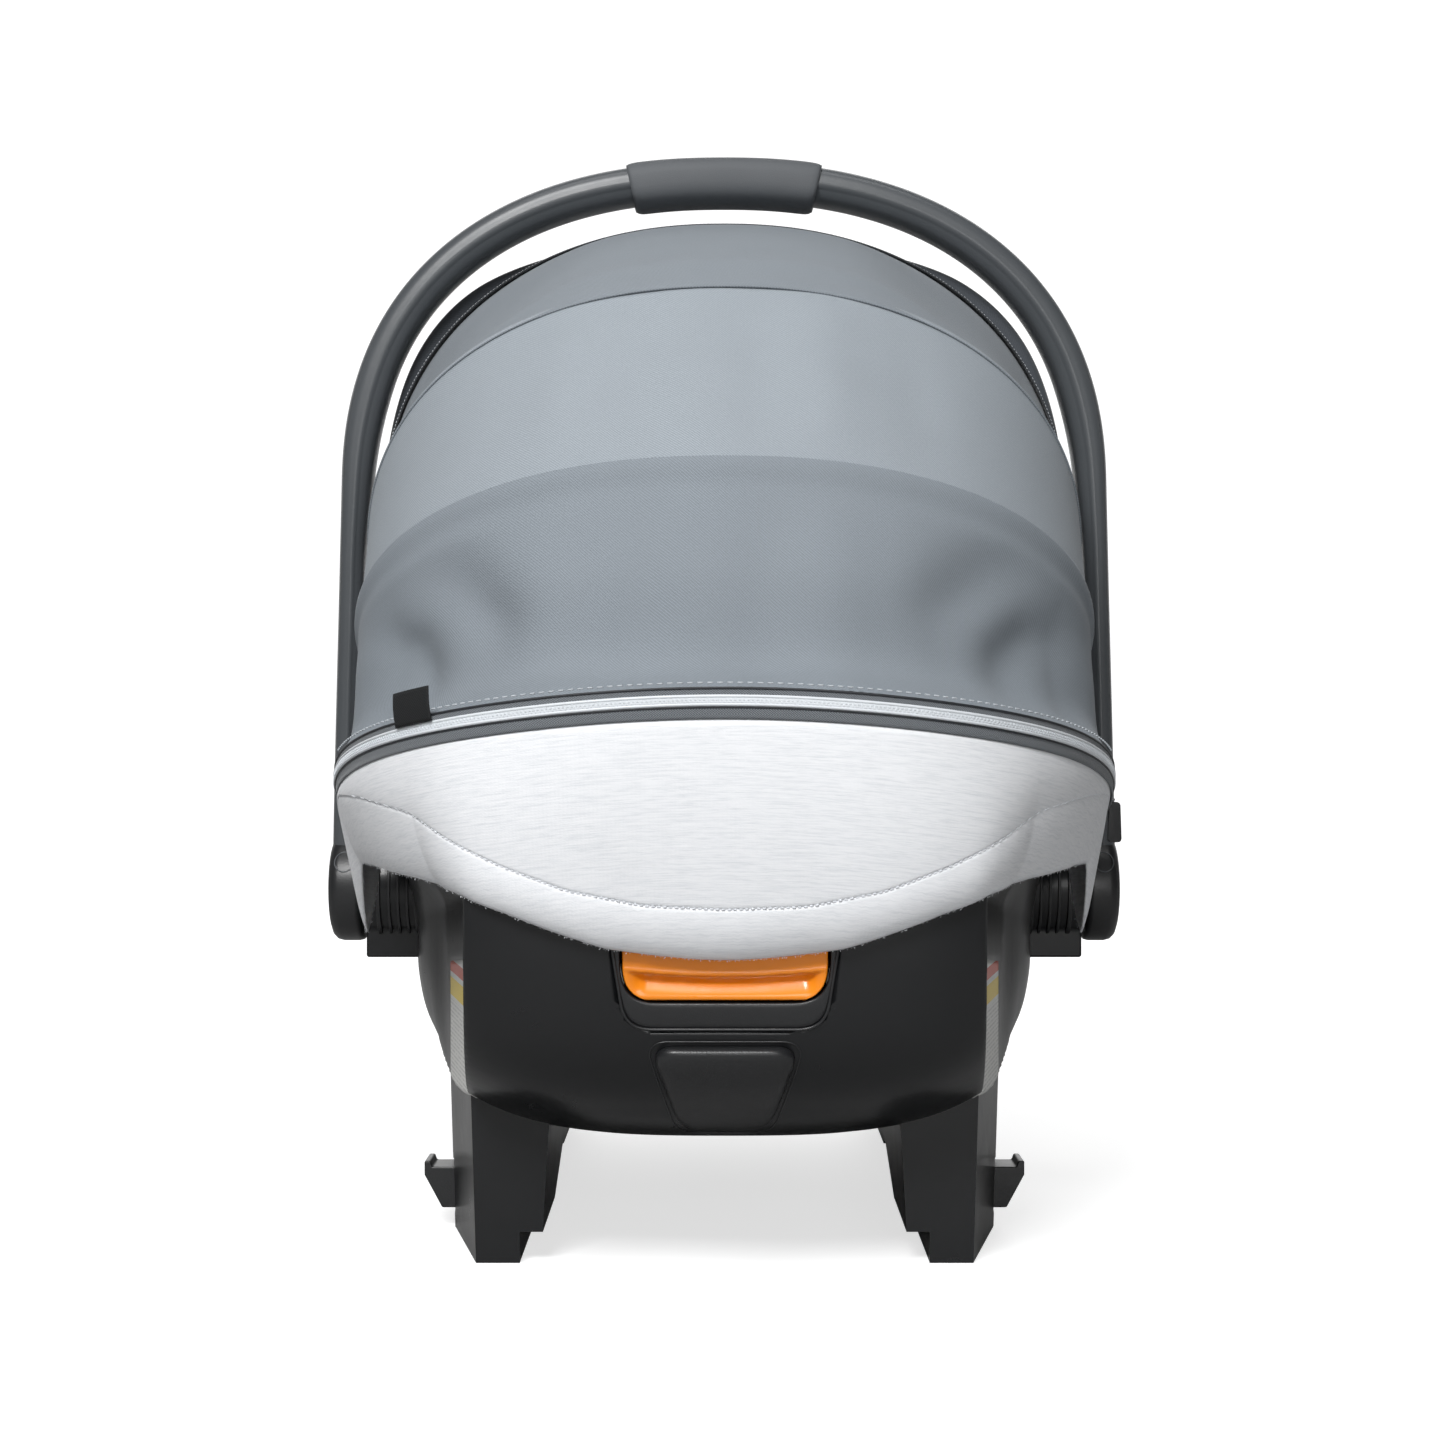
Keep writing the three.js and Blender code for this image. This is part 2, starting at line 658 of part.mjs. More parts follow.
// Outer edge of the handle on its right half, from the hub to the top, as 2-D points (x, z).
function handleEdge(inset = 0) {
  const arm = spread(3, 22, HANDLE.springZ - HANDLE.pivotZ).slice(0, 3);
  const armPoints = arm.map((z) => {
    const fraction = z / (HANDLE.springZ - HANDLE.pivotZ);
    return new THREE.Vector2(lerp(HANDLE.footHalfWidth, HANDLE.halfWidth, fraction), z);
  });
  const arch = spread(9, 0, Math.PI / 2).map((turn) => new THREE.Vector2(
    HANDLE.halfWidth * power(Math.cos(turn), 2 / HANDLE.power),
    HANDLE.springZ - HANDLE.pivotZ + HANDLE.rise * power(Math.sin(turn), 2 / HANDLE.power),
  ));
  return [...armPoints, ...arch].map((point) => point.multiplyScalar(1 - inset));
}

function barSection(edge, normal, thickness, depth) {
  const corners = spread(10, 0, 2 * Math.PI).slice(0, 10);
  return corners.map((turn) => {
    const inward = (thickness / 2) * (1 - power(Math.cos(turn), 0.7));
    return vec(edge.x - normal.x * inward, (depth / 2) * power(Math.sin(turn), 0.7), edge.y - normal.y * inward);
  });
}

function handleThickness(edge) {
  const height = edge.y + HANDLE.pivotZ;
  return lerp(HANDLE.armThickness, HANDLE.topThickness, smoothstep(height, 340, 450));
}

function handleBar(grow) {
  const right = handleEdge();
  const left = right.slice(0, -1).reverse().map((point) => new THREE.Vector2(-point.x, point.y));
  const path = [...right, ...left];
  return loft(path.map((edge, i) => {
    const before = path[Math.max(0, i - 1)];
    const after = path[Math.min(path.length - 1, i + 1)];
    const along = after.clone().sub(before).normalize();
    const normal = new THREE.Vector2(along.y, -along.x);
    const outer = edge.clone().addScaledVector(normal, grow);
    return barSection(outer, normal, handleThickness(edge) + 2 * grow, HANDLE.depth + 2 * grow);
  }));
}

function carryHandle() {
  const hub = rodX(0, 0, HANDLE.hubRadius, HANDLE.hubInner, HANDLE.footHalfWidth);
  const pocket = rodX(0, 0, BUTTON.radius + GAP, BUTTON.pocketFloor, 230, 20);
  const boltHole = rodX(0, 0, BOLT.radius + GAP, 190, 210, 10);
  const whole = join(handleBar(0), hub, mirrored(hub));
  return cut(whole, pocket, mirrored(pocket), boltHole, mirrored(boltHole));
}

function handleGrip() {
  const stations = spread(8, -GRIP.halfLength, GRIP.halfLength);
  const edgeAt = (x) => {
    const fraction = Math.abs(x) / HANDLE.halfWidth;
    const rise = HANDLE.rise * (1 - fraction ** HANDLE.power) ** (1 / HANDLE.power);
    return new THREE.Vector2(x, HANDLE.springZ - HANDLE.pivotZ + rise);
  };
  const sleeve = loft(stations.map((x) => {
    const along = edgeAt(x + 1).sub(edgeAt(x - 1)).normalize();
    const normal = new THREE.Vector2(-along.y, along.x);
    return barSection(edgeAt(x).addScaledVector(normal, GRIP.proud), normal, GRIP.thickness, GRIP.depth);
  }));
  return cut(sleeve, handleBar(GAP));
}

function releaseButton() {
  return rodX(0, 0, BUTTON.radius, BUTTON.inner, BUTTON.outer, 20);
}

function pivotBolt() {
  return rodX(0, HANDLE.pivotZ, BOLT.radius, BOLT.inner, BOLT.outer, 10);
}

function hubBase() {
  const { radius, outer, tabHalfWidth, tabBottom } = HUB_BASE;
  const tab = plateX(rectangle(-tabHalfWidth, tabHalfWidth, tabBottom, HANDLE.pivotZ), 160, outer);
  const boltHole = rodX(0, HANDLE.pivotZ, BOLT.radius + GAP, BOLT.inner - GAP, 230, 10);
  return cut(join(rodX(0, HANDLE.pivotZ, radius, 160, outer), tab), shellVolume(GAP), boltHole);
}

// ---------------------------------------------------------------- canopy, relative to its pivot

// One arch from the right leg over the top to the left leg, as 2-D points (x, r).
function archProfile(width, reach, legFrom = CANOPY.legFrom) {
  const leg = spread(2, legFrom, CANOPY.springR).slice(0, 2).map((r) => new THREE.Vector2(width, r));
  const top = spread(8, 0, Math.PI / 2).map((turn) => new THREE.Vector2(
    width * power(Math.cos(turn), 2 / CANOPY.power),
    CANOPY.springR + (reach - CANOPY.springR) * power(Math.sin(turn), 2 / CANOPY.power),
  ));
  const right = [...leg, ...top];
  const left = right.slice(0, -1).reverse().map((point) => new THREE.Vector2(-point.x, point.y));
  return [...right, ...left];
}

// Turns (x, r) up from the head end by `degrees`, then steps `ahead` along the turn.
function swing(point, degrees, ahead = 0) {
  const turn = degToRad(degrees);
  return vec(
    point.x,
    -point.y * Math.cos(turn) + ahead * Math.sin(turn),
    point.y * Math.sin(turn) + ahead * Math.cos(turn),
  );
}

function gore({ width, reach, from, to, thickness = CANOPY.fabric, legFrom }) {
  const outer = archProfile(width, reach, legFrom);
  const inner = archProfile(width - thickness, reach - thickness, legFrom);
  const turns = spread(Math.ceil((to - from) / CANOPY.facet), from, to);
  return loft(outer.map((point, i) => [
    ...turns.map((turn) => swing(point, turn)),
    ...turns.map((turn) => swing(inner[i], turn)).reverse(),
  ]), false, ladderFaces);
}

// The rear gore ends in a flange that flares out to the zip on the rim.
function rearGore() {
  const { width, reach, from, to } = REAR_GORE;
  const outer = archProfile(width, reach);
  const inner = archProfile(width - CANOPY.fabric, reach - CANOPY.fabric);
  const turns = spread(Math.ceil((to - from) / CANOPY.facet), from, to);
  const flange = (point, out) => {
    const start = swing(point, from);
    return rimPoint(rimAngle(start.x, -start.y), out, ZIPPER.top + 1).sub(vec(0, 0, CANOPY.pivotZ));
  };
  return loft(outer.map((point, i) => [
    flange(point, 7.3),
    ...turns.map((turn) => swing(point, turn)),
    ...turns.map((turn) => swing(inner[i], turn)).reverse(),
    flange(point, 7.3 - CANOPY.fabric),
  ]), false, ladderFaces);
}

// A flat spring bow just inside its gore, with a pierced disc at each end.
function bow({ width, reach }, degrees) {
  const outside = width - CANOPY.fabric - 0.3;
  const top = reach - CANOPY.fabric - 2.4;
  const outer = archProfile(outside, top, 6);
  const inner = archProfile(outside - BOW.thickness, top - BOW.thickness, 6);
  const strip = loft(outer.map((point, i) => [
    swing(point, degrees, -BOW.halfDepth),
    swing(point, degrees, BOW.halfDepth),
    swing(inner[i], degrees, BOW.halfDepth),
    swing(inner[i], degrees, -BOW.halfDepth),
  ]));
  const end = rodX(0, 0, BOW.discRadius, outside - BOW.thickness, outside, 12);
  const hole = rodX(0, 0, CANOPY_PIN.radius + 0.3, 100, 230, 8);
  return cut(join(strip, end, mirrored(end)), hole, mirrored(hole));
}

function canopyMount() {
  const { radius, inner, plateInner, plateOuter, plateHalfDepth } = CANOPY_PIN;
  const bottom = HANDLE.pivotZ + HUB_BASE.radius + GAP - CANOPY.pivotZ;
  const plate = plateX(rectangle(-plateHalfDepth, plateHalfDepth, bottom, 11, 3), plateInner, plateOuter);
  return join(plate, rodX(0, 0, radius, inner, plateInner + 1, 8));
}

// ---------------------------------------------------------------- insert and harness

function infantInsert() {
  const under = (angle) => bowlRows(PAD, angle, -0.6, 3.5);
  const top = (angle) => bowlRows(PAD, angle, -11, 3.7);
  return bowlSkin(under, top);
}

// A soft U round the child's head, open towards the feet.
function headSupport() {
  const radius = 15;
  const arc = spread(14, degToRad(-120), degToRad(120));
  return loft(arc.map((turn) => {
    const middle = seatPoint(58 * Math.sin(turn), -218 - 58 * Math.cos(turn), radius + 3);
    const outward = vec(Math.sin(turn), -Math.cos(turn), 0);
    return spread(8, 0, 2 * Math.PI).slice(0, 8).map((phase) => middle.clone()
      .addScaledVector(outward, radius * Math.cos(phase))
      .add(vec(0, 0, radius * Math.sin(phase))));
  }));
}

// Height of the harness over the pad: it climbs over the insert below the shoulder slots.
function strapLift(y) {
  return lerp(2, STRAP.lift, smoothstep(y, STRAP.from, STRAP.from + 30));
}

// A band along Y over the seat, `margin` larger than the webbing all round.
function band(x, from, to, halfWidth, low, high, steps = 8) {
  return loft(spread(steps, from, to).map((y) => [
    seatPoint(x - halfWidth, y, strapLift(y) + low),
    seatPoint(x + halfWidth, y, strapLift(y) + low),
    seatPoint(x + halfWidth, y, strapLift(y) + high),
    seatPoint(x - halfWidth, y, strapLift(y) + high),
  ]));
}

function shoulderStrap(margin = 0) {
  const { from, to, width, thickness, spread: x } = STRAP;
  return band(x, from - 4 * margin, to + 4 * margin, width / 2 + margin, -margin, thickness + margin, 10);
}

function shoulderPad() {
  return cut(band(STRAP.spread, -143, -75, 26, -1.6, 8, 5), shoulderStrap(GAP));
}

function chestClip() {
  return cut(band(26, -62, -34, 25.5, -1.6, 6, 3), shoulderStrap(GAP));
}

// The lap belt runs across from the side of the seat to the tongue.
function lapStrap() {
  const stations = spread(7, 50, 128);
  return loft(stations.map((x) => {
    const fraction = (x - stations[0]) / (stations.at(-1) - stations[0]);
    const middle = lerp(4, -26, fraction);
    const lift = lerp(STRAP.lift + 1, STRAP.lift - 1, fraction);
    return [
      seatPoint(x, middle - 13, lift),
      seatPoint(x, middle + 13, lift),
      seatPoint(x, middle + 13, lift + STRAP.thickness),
      seatPoint(x, middle - 13, lift + STRAP.thickness),
    ];
  }));
}

function block(halfWidth, halfLength, low, high, corner) {
  return closeUp(extrude(rectangle(-halfWidth, halfWidth, -halfLength, halfLength, corner), high - low)
    .translate(0, 0, low));
}

function buckleBody() {
  const { halfWidth, halfLength, height, corner } = BUCKLE;
  const body = block(halfWidth, halfLength, 0, height, corner);
  const pocket = block(BUCKLE_BUTTON.halfWidth + GAP, BUCKLE_BUTTON.halfLength + GAP, height - 6, height + 9, 2);
  return cut(body, pocket).applyMatrix4(seatFrame(BUCKLE.y, BUCKLE.lift));
}

function buckleButton() {
  const { halfWidth, halfLength, height } = BUCKLE_BUTTON;
  const low = BUCKLE.height - 2;
  return block(halfWidth, halfLength, low, low + height, 2).applyMatrix4(seatFrame(BUCKLE.y, BUCKLE.lift));
}

function buckleTongue() {
  const tip = -BUCKLE.halfLength - GAP;
  const plate = outline([[3, -39], [44.5, -39], [44.5, -33], [24, tip], [3, tip]], 1.5);
  return closeUp(extrude(plate, 3).translate(0, 0, 8)).applyMatrix4(seatFrame(BUCKLE.y, BUCKLE.lift));
}

function crotchStrap() {
  const start = BUCKLE.y + BUCKLE.halfLength + 3;
  return loft(spread(4, start, start + 44).map((y, i) => {
    const lift = lerp(BUCKLE.lift + 8, 12, i / 4);
    return [
      seatPoint(-19, y, lift),
      seatPoint(19, y, lift),
      seatPoint(19, y, lift + STRAP.thickness),
      seatPoint(-19, y, lift + STRAP.thickness),
    ];
  }));
}

function adjusterHousing() {
  const { halfWidth, halfLength, height, corner } = ADJUSTER;
  const pocket = block(ADJUSTER_BUTTON.halfWidth + GAP, ADJUSTER_BUTTON.halfLength + GAP, height - 5, height + 9, 2);
  return cut(block(halfWidth, halfLength, 0, height, corner), pocket).applyMatrix4(seatFrame(ADJUSTER.y, 2));
}

function adjusterButton() {
  const { halfWidth, halfLength, height } = ADJUSTER_BUTTON;
  const low = ADJUSTER.height - 2;
  return block(halfWidth, halfLength, low, low + height, 2).applyMatrix4(seatFrame(ADJUSTER.y, 2));
}

function adjusterStrap() {
  const start = ADJUSTER.y + ADJUSTER.halfLength + 1;
  return loft(spread(4, start, PAD.foot[0] - 14).map((y) => [
    seatPoint(-15, y, 4),
    seatPoint(15, y, 4),
    seatPoint(15, y, 4 + STRAP.thickness),
    seatPoint(-15, y, 4 + STRAP.thickness),
  ]));
}

// ---------------------------------------------------------------- assembly

add('shell', shell(), 'shell');
add('foam_liner', foamLiner(), 'foam');
addPair('foot_rail', footRail(), 'shell');
addPair('latch_bolt', latchBolt(), 'plastic');
add('lever_bezel', bezel(), 'plastic');
add('release_lever', releaseLever(), 'orange');
add('rear_cover', rearCover(), 'plastic');
addPair('side_label', sideLabel(), 'label');
addPair('belt_guide', beltGuide(), 'shell');
addPair('hub_base', hubBase(), 'shell');
addPair('pivot_bolt', pivotBolt(), 'steel');

add('seat_pad', seatPad(), 'jersey');
add('rear_skirt', rearSkirt(), 'jersey');
add('front_skirt', frontSkirt(), 'jersey');
add('rear_zipper', rearZipper(), 'zipper');
add('zipper_slider', zipperSlider(), 'steel');

add('carry_handle', carryHandle(), 'handle', handleGroup);
add('handle_grip', handleGrip(), 'grip', handleGroup);
addPair('release_button', releaseButton(), 'plastic', handleGroup);

add('canopy_rear_panel', rearGore(), 'canopy', canopyGroup);
add('canopy_mid_panel', gore(MID_GORE), 'canopy', canopyGroup);
add('canopy_front_panel', gore(FRONT_GORE), 'canopy', canopyGroup);
add('canopy_visor', gore(VISOR), 'visor', canopyGroup);
add('canopy_rim_zipper', gore(RIM_ZIPPER), 'zipper', canopyGroup);
add('canopy_rear_bow', bow(REAR_GORE, BOW.angles.rear), 'plastic', canopyGroup);
add('canopy_mid_bow', bow(MID_GORE, BOW.angles.mid), 'plastic', canopyGroup);
add('canopy_front_bow', bow(FRONT_GORE, BOW.angles.front), 'plastic', canopyGroup);
addPair('canopy_mount', canopyMount(), 'plastic', canopyGroup);

add('infant_insert', infantInsert(), 'jersey');
add('head_support', headSupport(), 'jersey');
addPair('shoulder_strap', shoulderStrap(), 'webbing');
addPair('shoulder_pad', shoulderPad(), 'canopy');
addPair('chest_clip', chestClip(), 'plastic');
addPair('lap_strap', lapStrap(), 'webbing');
addPair('buckle_tongue', buckleTongue(), 'steel');
add('crotch_strap', crotchStrap(), 'webbing');
add('buckle_body', buckleBody(), 'plastic');
add('buckle_button', buckleButton(), 'red');
add('adjuster_housing', adjusterHousing(), 'plastic');
add('adjuster_button', adjusterButton(), 'plastic');
add('adjuster_strap', adjusterStrap(), 'webbing');

export default seat;
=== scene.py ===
"""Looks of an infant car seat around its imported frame.

Shapes are worked out in millimetres, in the frame of the CAD model: +Z up, the head end towards -Y.
"""

import math

import bmesh
import bpy
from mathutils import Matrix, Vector
from mathutils.kdtree import KDTree
import numpy as np


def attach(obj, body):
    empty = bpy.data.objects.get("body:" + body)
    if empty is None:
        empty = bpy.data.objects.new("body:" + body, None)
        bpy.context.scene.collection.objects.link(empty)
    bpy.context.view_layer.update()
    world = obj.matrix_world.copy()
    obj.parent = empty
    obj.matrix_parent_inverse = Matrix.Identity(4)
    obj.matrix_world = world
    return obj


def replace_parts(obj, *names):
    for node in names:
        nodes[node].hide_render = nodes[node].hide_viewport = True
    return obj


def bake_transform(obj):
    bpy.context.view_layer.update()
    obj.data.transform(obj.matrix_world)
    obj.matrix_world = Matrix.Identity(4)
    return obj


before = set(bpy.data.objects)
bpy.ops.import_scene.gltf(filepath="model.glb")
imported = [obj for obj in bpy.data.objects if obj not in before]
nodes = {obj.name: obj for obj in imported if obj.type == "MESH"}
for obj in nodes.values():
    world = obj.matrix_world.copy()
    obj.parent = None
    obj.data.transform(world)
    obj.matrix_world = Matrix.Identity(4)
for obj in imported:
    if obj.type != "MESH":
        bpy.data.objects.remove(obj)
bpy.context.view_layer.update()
MM = 0.001

# ---------------------------------------------------------------- dimensions of the frame

PLAN_POWER = 3.1
WAIST_LENGTH = 65.0
SHELL = {
    "floor": 40, "drop": 0, "corner": 2.2,
    "heights": [1, 0.86, 0.68, 0.5, 0.33, 0.2, 0.11, 0.04, 0],
    "head": [318, 306, 300, 296, 286, 264, 228, 130, 0],
    "side": [192, 172, 161, 158, 151, 138, 115, 60, 0],
    "foot": [318, 306, 298, 290, 275, 250, 212, 120, 0],
    "waist": [-16, -3, 8, 11, 11, 6, 0, 0, 0],
    "flank": [0, 0.3, 1, 1, 1, 1, 1, 0, 0],
}
PAD = {
    "floor": 97, "drop": 8,
    "heights": [1, 0.8, 0.6, 0.4, 0.22, 0.1, 0.03, 0],
    "head": [283, 256, 216, 168, 114, 68, 30, 0],
    "side": [147, 141, 133, 121, 98, 68, 34, 0],
    "foot": [280, 258, 229, 186, 131, 78, 34, 0],
}
LINER = {
    "floor": 82, "drop": 8,
    "heights": [1, 0.8, 0.6, 0.4, 0.22, 0.1, 0.03, 0],
    "head": [296, 270, 232, 185, 130, 80, 35, 0],
    "side": [160, 154, 146, 134, 112, 80, 40, 0],
    "foot": [293, 272, 243, 200, 145, 90, 40, 0],
}
HANDLE_PIVOT_Z = 164.0
CANOPY_PIVOT_Z = 215.0
CANOPY_SPRING_R = 150.0
CANOPY_POWER = 2.2
REAR_BOW, MID_BOW, FRONT_BOW = 31.0, 54.7, 88.5

# ---------------------------------------------------------------- numbers and curves


def spow(value, exponent):
    return np.sign(value) * np.abs(value) ** exponent


def smoothstep(x, low, high):
    t = np.clip((np.asarray(x, float) - low) / (high - low), 0, 1)
    return t * t * (3 - 2 * t)


def unit(vectors):
    return vectors / np.maximum(np.linalg.norm(vectors, axis=-1, keepdims=True), 1e-9)


def spline(points, where):
    """Catmull-Rom curve through evenly numbered points."""
    points = np.asarray(points, float)
    last = len(points) - 1
    where = np.clip(np.asarray(where, float), 0, last)
    i = np.minimum(where.astype(int), last - 1)
    flat = (...,) + (None,) * (points.ndim - 1)
    t = (where - i)[flat]
    before = np.where(i > 0, i - 1, 0)
    after = np.where(i < last - 1, i + 2, last)
    p1, p2 = points[i], points[i + 1]
    p0 = np.where((i > 0)[flat], points[before], 2 * p1 - p2)
    p3 = np.where((i < last - 1)[flat], points[after], 2 * p2 - p1)
    return 0.5 * (2 * p1 + (p2 - p0) * t + (2 * p0 - 5 * p1 + 4 * p2 - p3) * t**2 + (3 * p1 - p0 - 3 * p2 + p3) * t**3)


def resample(points, count):
    """The polyline through points, cut into count equal steps."""
    points = np.asarray(points, float)
    length = np.concatenate([[0], np.cumsum(np.linalg.norm(np.diff(points, axis=0), axis=1))])
    where = np.linspace(0, length[-1], count + 1)
    return np.stack([np.interp(where, length, points[:, k]) for k in range(points.shape[1])], axis=1)


def grid_normals(grid, wrap=False):
    """Unit normals of a grid of points; wrap closes its second direction."""
    if wrap:
        across = np.roll(grid, -1, axis=1) - np.roll(grid, 1, axis=1)
    else:
        across = np.gradient(grid, axis=1)
    return unit(np.cross(np.gradient(grid, axis=0), across))


# ---------------------------------------------------------------- bowls


def rim_height(y):
    reach = np.hypot(y, 30.0) - 30.0
    return np.where(y > 0, 195 + 0.07 * reach, 195 + 0.235 * reach - 0.0001 * y * y)


def flank_x(y):
    run = np.abs(y) - 100
    return 147 - 0.22 * np.clip(run, 0, 115) - 0.07 * np.maximum(0, run - 115)


def bowl(shape, angle, row, offset=0.0):
    """Points of a bowl: angle runs round from the head end, row from the rim (0) down to the floor."""
    angle, row = np.broadcast_arrays(np.asarray(angle, float), np.asarray(row, float))

    def base(angle, row):
        square = shape.get("corner", 0) * smoothstep(row, 0.8, 2.0) * (1 - smoothstep(row, 3.8, 6.2))
        square = square * smoothstep(np.cos(angle), -0.1, 0.2)
        across = spow(np.sin(angle), 2 / (PLAN_POWER + square))
        along = -spow(np.cos(angle), 2 / (PLAN_POWER + square))
        head, foot = spline(shape["head"], row), spline(shape["foot"], row)
        y = along * np.where(along < 0, head, foot)
        rim_reach = np.where(along < 0, shape["head"][0], shape["foot"][0])
        z = shape["floor"] + (rim_height(along * rim_reach) - shape["drop"] - shape["floor"]) * spline(shape["heights"], row)
        side = spline(shape["side"], row)
        if "waist" in shape:
            side = side + spline(shape["waist"], row) * np.exp(-((y / WAIST_LENGTH) ** 2))
        x = across * side
        if "flank" in shape:
            share = np.clip(spline(shape["flank"], row), 0, 1) * smoothstep(-y, 70, 130)
            x = x - np.sign(x) * share * np.maximum(0, np.abs(x) - flank_x(y))
        return np.stack([x, y, z], axis=-1)

    points = base(angle, row)
    if np.any(offset):
        last = len(shape["heights"]) - 1
        across = base(angle + 0.02, row) - base(angle - 0.02, row)
        down = base(angle, np.minimum(row + 0.1, last - 0.02)) - base(angle, np.maximum(row - 0.1, 0))
        points = points + unit(np.cross(down, across)) * np.asarray(offset)[..., None]
    return points


def even_angles(count, shape=SHELL):
    """Angles that cut a bowl's rim into equal lengths, starting at the head end."""
    fine = np.linspace(0, 2 * np.pi, 20001)
    plan = np.stack([shape["side"][0] * spow(np.sin(fine), 2 / PLAN_POWER), shape["head"][0] * spow(np.cos(fine), 2 / PLAN_POWER)], 1)
    length = np.concatenate([[0], np.cumsum(np.linalg.norm(np.diff(plan, axis=0), axis=1))])
    return np.interp(np.arange(count) / count * length[-1], length, fine)


def rim_point(angle, out, up):
    """Point beside the shell's rim: out level with the ground, up above the rim."""
    angle = np.asarray(angle, float)
    tangent = bowl(SHELL, angle + 0.02, 0) - bowl(SHELL, angle - 0.02, 0)
    outward = unit(np.stack([tangent[..., 1], -tangent[..., 0], 0 * tangent[..., 0]], axis=-1))
    return bowl(SHELL, angle, 0) + outward * np.asarray(out)[..., None] + np.stack([0 * angle, 0 * angle, up + 0 * angle], -1)


def rim_angle(x, y):
    """Angle at which the rim lies in the direction (x, -y) from the middle."""
    slope = (np.abs(x) / SHELL["side"][0]) * (SHELL["head"][0] / np.maximum(y, 1e-6))
    return np.sign(x) * np.arctan(slope ** (PLAN_POWER / 2))


BACK_X, BACK_Z = np.linspace(-64, 64, 129), np.linspace(52, 196, 145)


def back_table():
    """Depth y of the shell's back panel over a regular grid of heights and widths."""
    angles = np.concatenate([-np.geomspace(1.15, 1e-4, 60), [0], np.geomspace(1e-4, 1.15, 60)])
    lines = bowl(SHELL, angles[:, None], np.linspace(0.3, 7.8, 240)[None, :])
    table = []
    for z in BACK_Z:
        at = np.array([[np.interp(-z, -line[:, 2], line[:, k]) for k in (0, 1)] for line in lines])
        table.append(np.interp(BACK_X, at[:, 0], at[:, 1]))
    return np.array(table)


BACK = back_table()


def back_panel(x, z, lift=0.0):
    """Points on the shell's back panel, given across and up, lifted off the surface towards the head end."""
    x, z = np.broadcast_arrays(np.asarray(x, float), np.asarray(z, float))
    column = np.clip(x - BACK_X[0], 0, len(BACK_X) - 1.001)
    row = np.clip(z - BACK_Z[0], 0, len(BACK_Z) - 1.001)
    i, j = row.astype(int), column.astype(int)
    s, t = row - i, column - j
    low = BACK[i, j] * (1 - t) + BACK[i, j + 1] * t
    high = BACK[i + 1, j] * (1 - t) + BACK[i + 1, j + 1] * t
    return np.stack([x, low * (1 - s) + high * s - lift, z], axis=-1)


def seat_height(x, y):
    """Height of the seat pad's surface over the point (x, y)."""
    x, y = np.broadcast_arrays(np.asarray(x, float), np.asarray(y, float))
    low, high = np.zeros(x.shape), np.full(x.shape, len(PAD["heights"]) - 1.001)
    ends = lambda row: np.where(y < 0, spline(PAD["head"], row), spline(PAD["foot"], row))
    for _ in range(30):
        middle = (low + high) / 2
        fill = (np.abs(x) / spline(PAD["side"], middle)) ** PLAN_POWER + (np.abs(y) / ends(middle)) ** PLAN_POWER
        inside = fill < 1
        low, high = np.where(inside, middle, low), np.where(inside, high, middle)
    rim_reach = np.where(y < 0, PAD["head"][0], PAD["foot"][0])
    rim = rim_height(y * rim_reach / ends(low)) - PAD["drop"]
    return PAD["floor"] + (rim - PAD["floor"]) * spline(PAD["heights"], low)


def seat_point(x, y, lift):
    """Point lifted off the seat pad along its normal."""
    x, y = np.broadcast_arrays(np.asarray(x, float), np.asarray(y, float))
    step = 12.0
    slope_x = (seat_height(x + step, y) - seat_height(x - step, y)) / (2 * step)
    slope_y = (seat_height(x, y + step) - seat_height(x, y - step)) / (2 * step)
    normal = unit(np.stack([-slope_x, -slope_y, np.ones(x.shape)], -1))
    return np.stack([x, y, seat_height(x, y)], -1) + normal * np.asarray(lift)[..., None]


# ---------------------------------------------------------------- meshes


def add_object(name, verts, faces, uv=None):
    mesh = bpy.data.meshes.new(name)
    mesh.from_pydata((np.asarray(verts, float).reshape(-1, 3) * MM).tolist(), [], [list(map(int, f)) for f in faces])
    piece = bpy.data.objects.new(name, mesh)
    bpy.context.scene.collection.objects.link(piece)
    if uv is not None:
        layer = mesh.uv_layers.new(name="weave")
        corner = np.empty(len(mesh.loops), int)
        mesh.loops.foreach_get("vertex_index", corner)
        layer.data.foreach_set("uv", (np.asarray(uv, float)[corner] * MM).ravel())
    return piece


def tidy_mesh(piece, smooth=True):
    work = bmesh.new()
    work.from_mesh(piece.data)
    bmesh.ops.remove_doubles(work, verts=work.verts, dist=1e-6)
    bmesh.ops.recalc_face_normals(work, faces=work.faces)
    work.to_mesh(piece.data)
    work.free()
    piece.data.polygons.foreach_set("use_smooth", [smooth] * len(piece.data.polygons))
    return piece


def quads(rows, columns, wrap=False, start=0):
    j = np.arange(columns if wrap else columns - 1)
    k = (j + 1) % columns
    i = np.arange(rows - 1)[:, None] * columns + start
    return np.stack([i + j, i + k, i + columns + k, i + columns + j], -1).reshape(-1, 4).tolist()


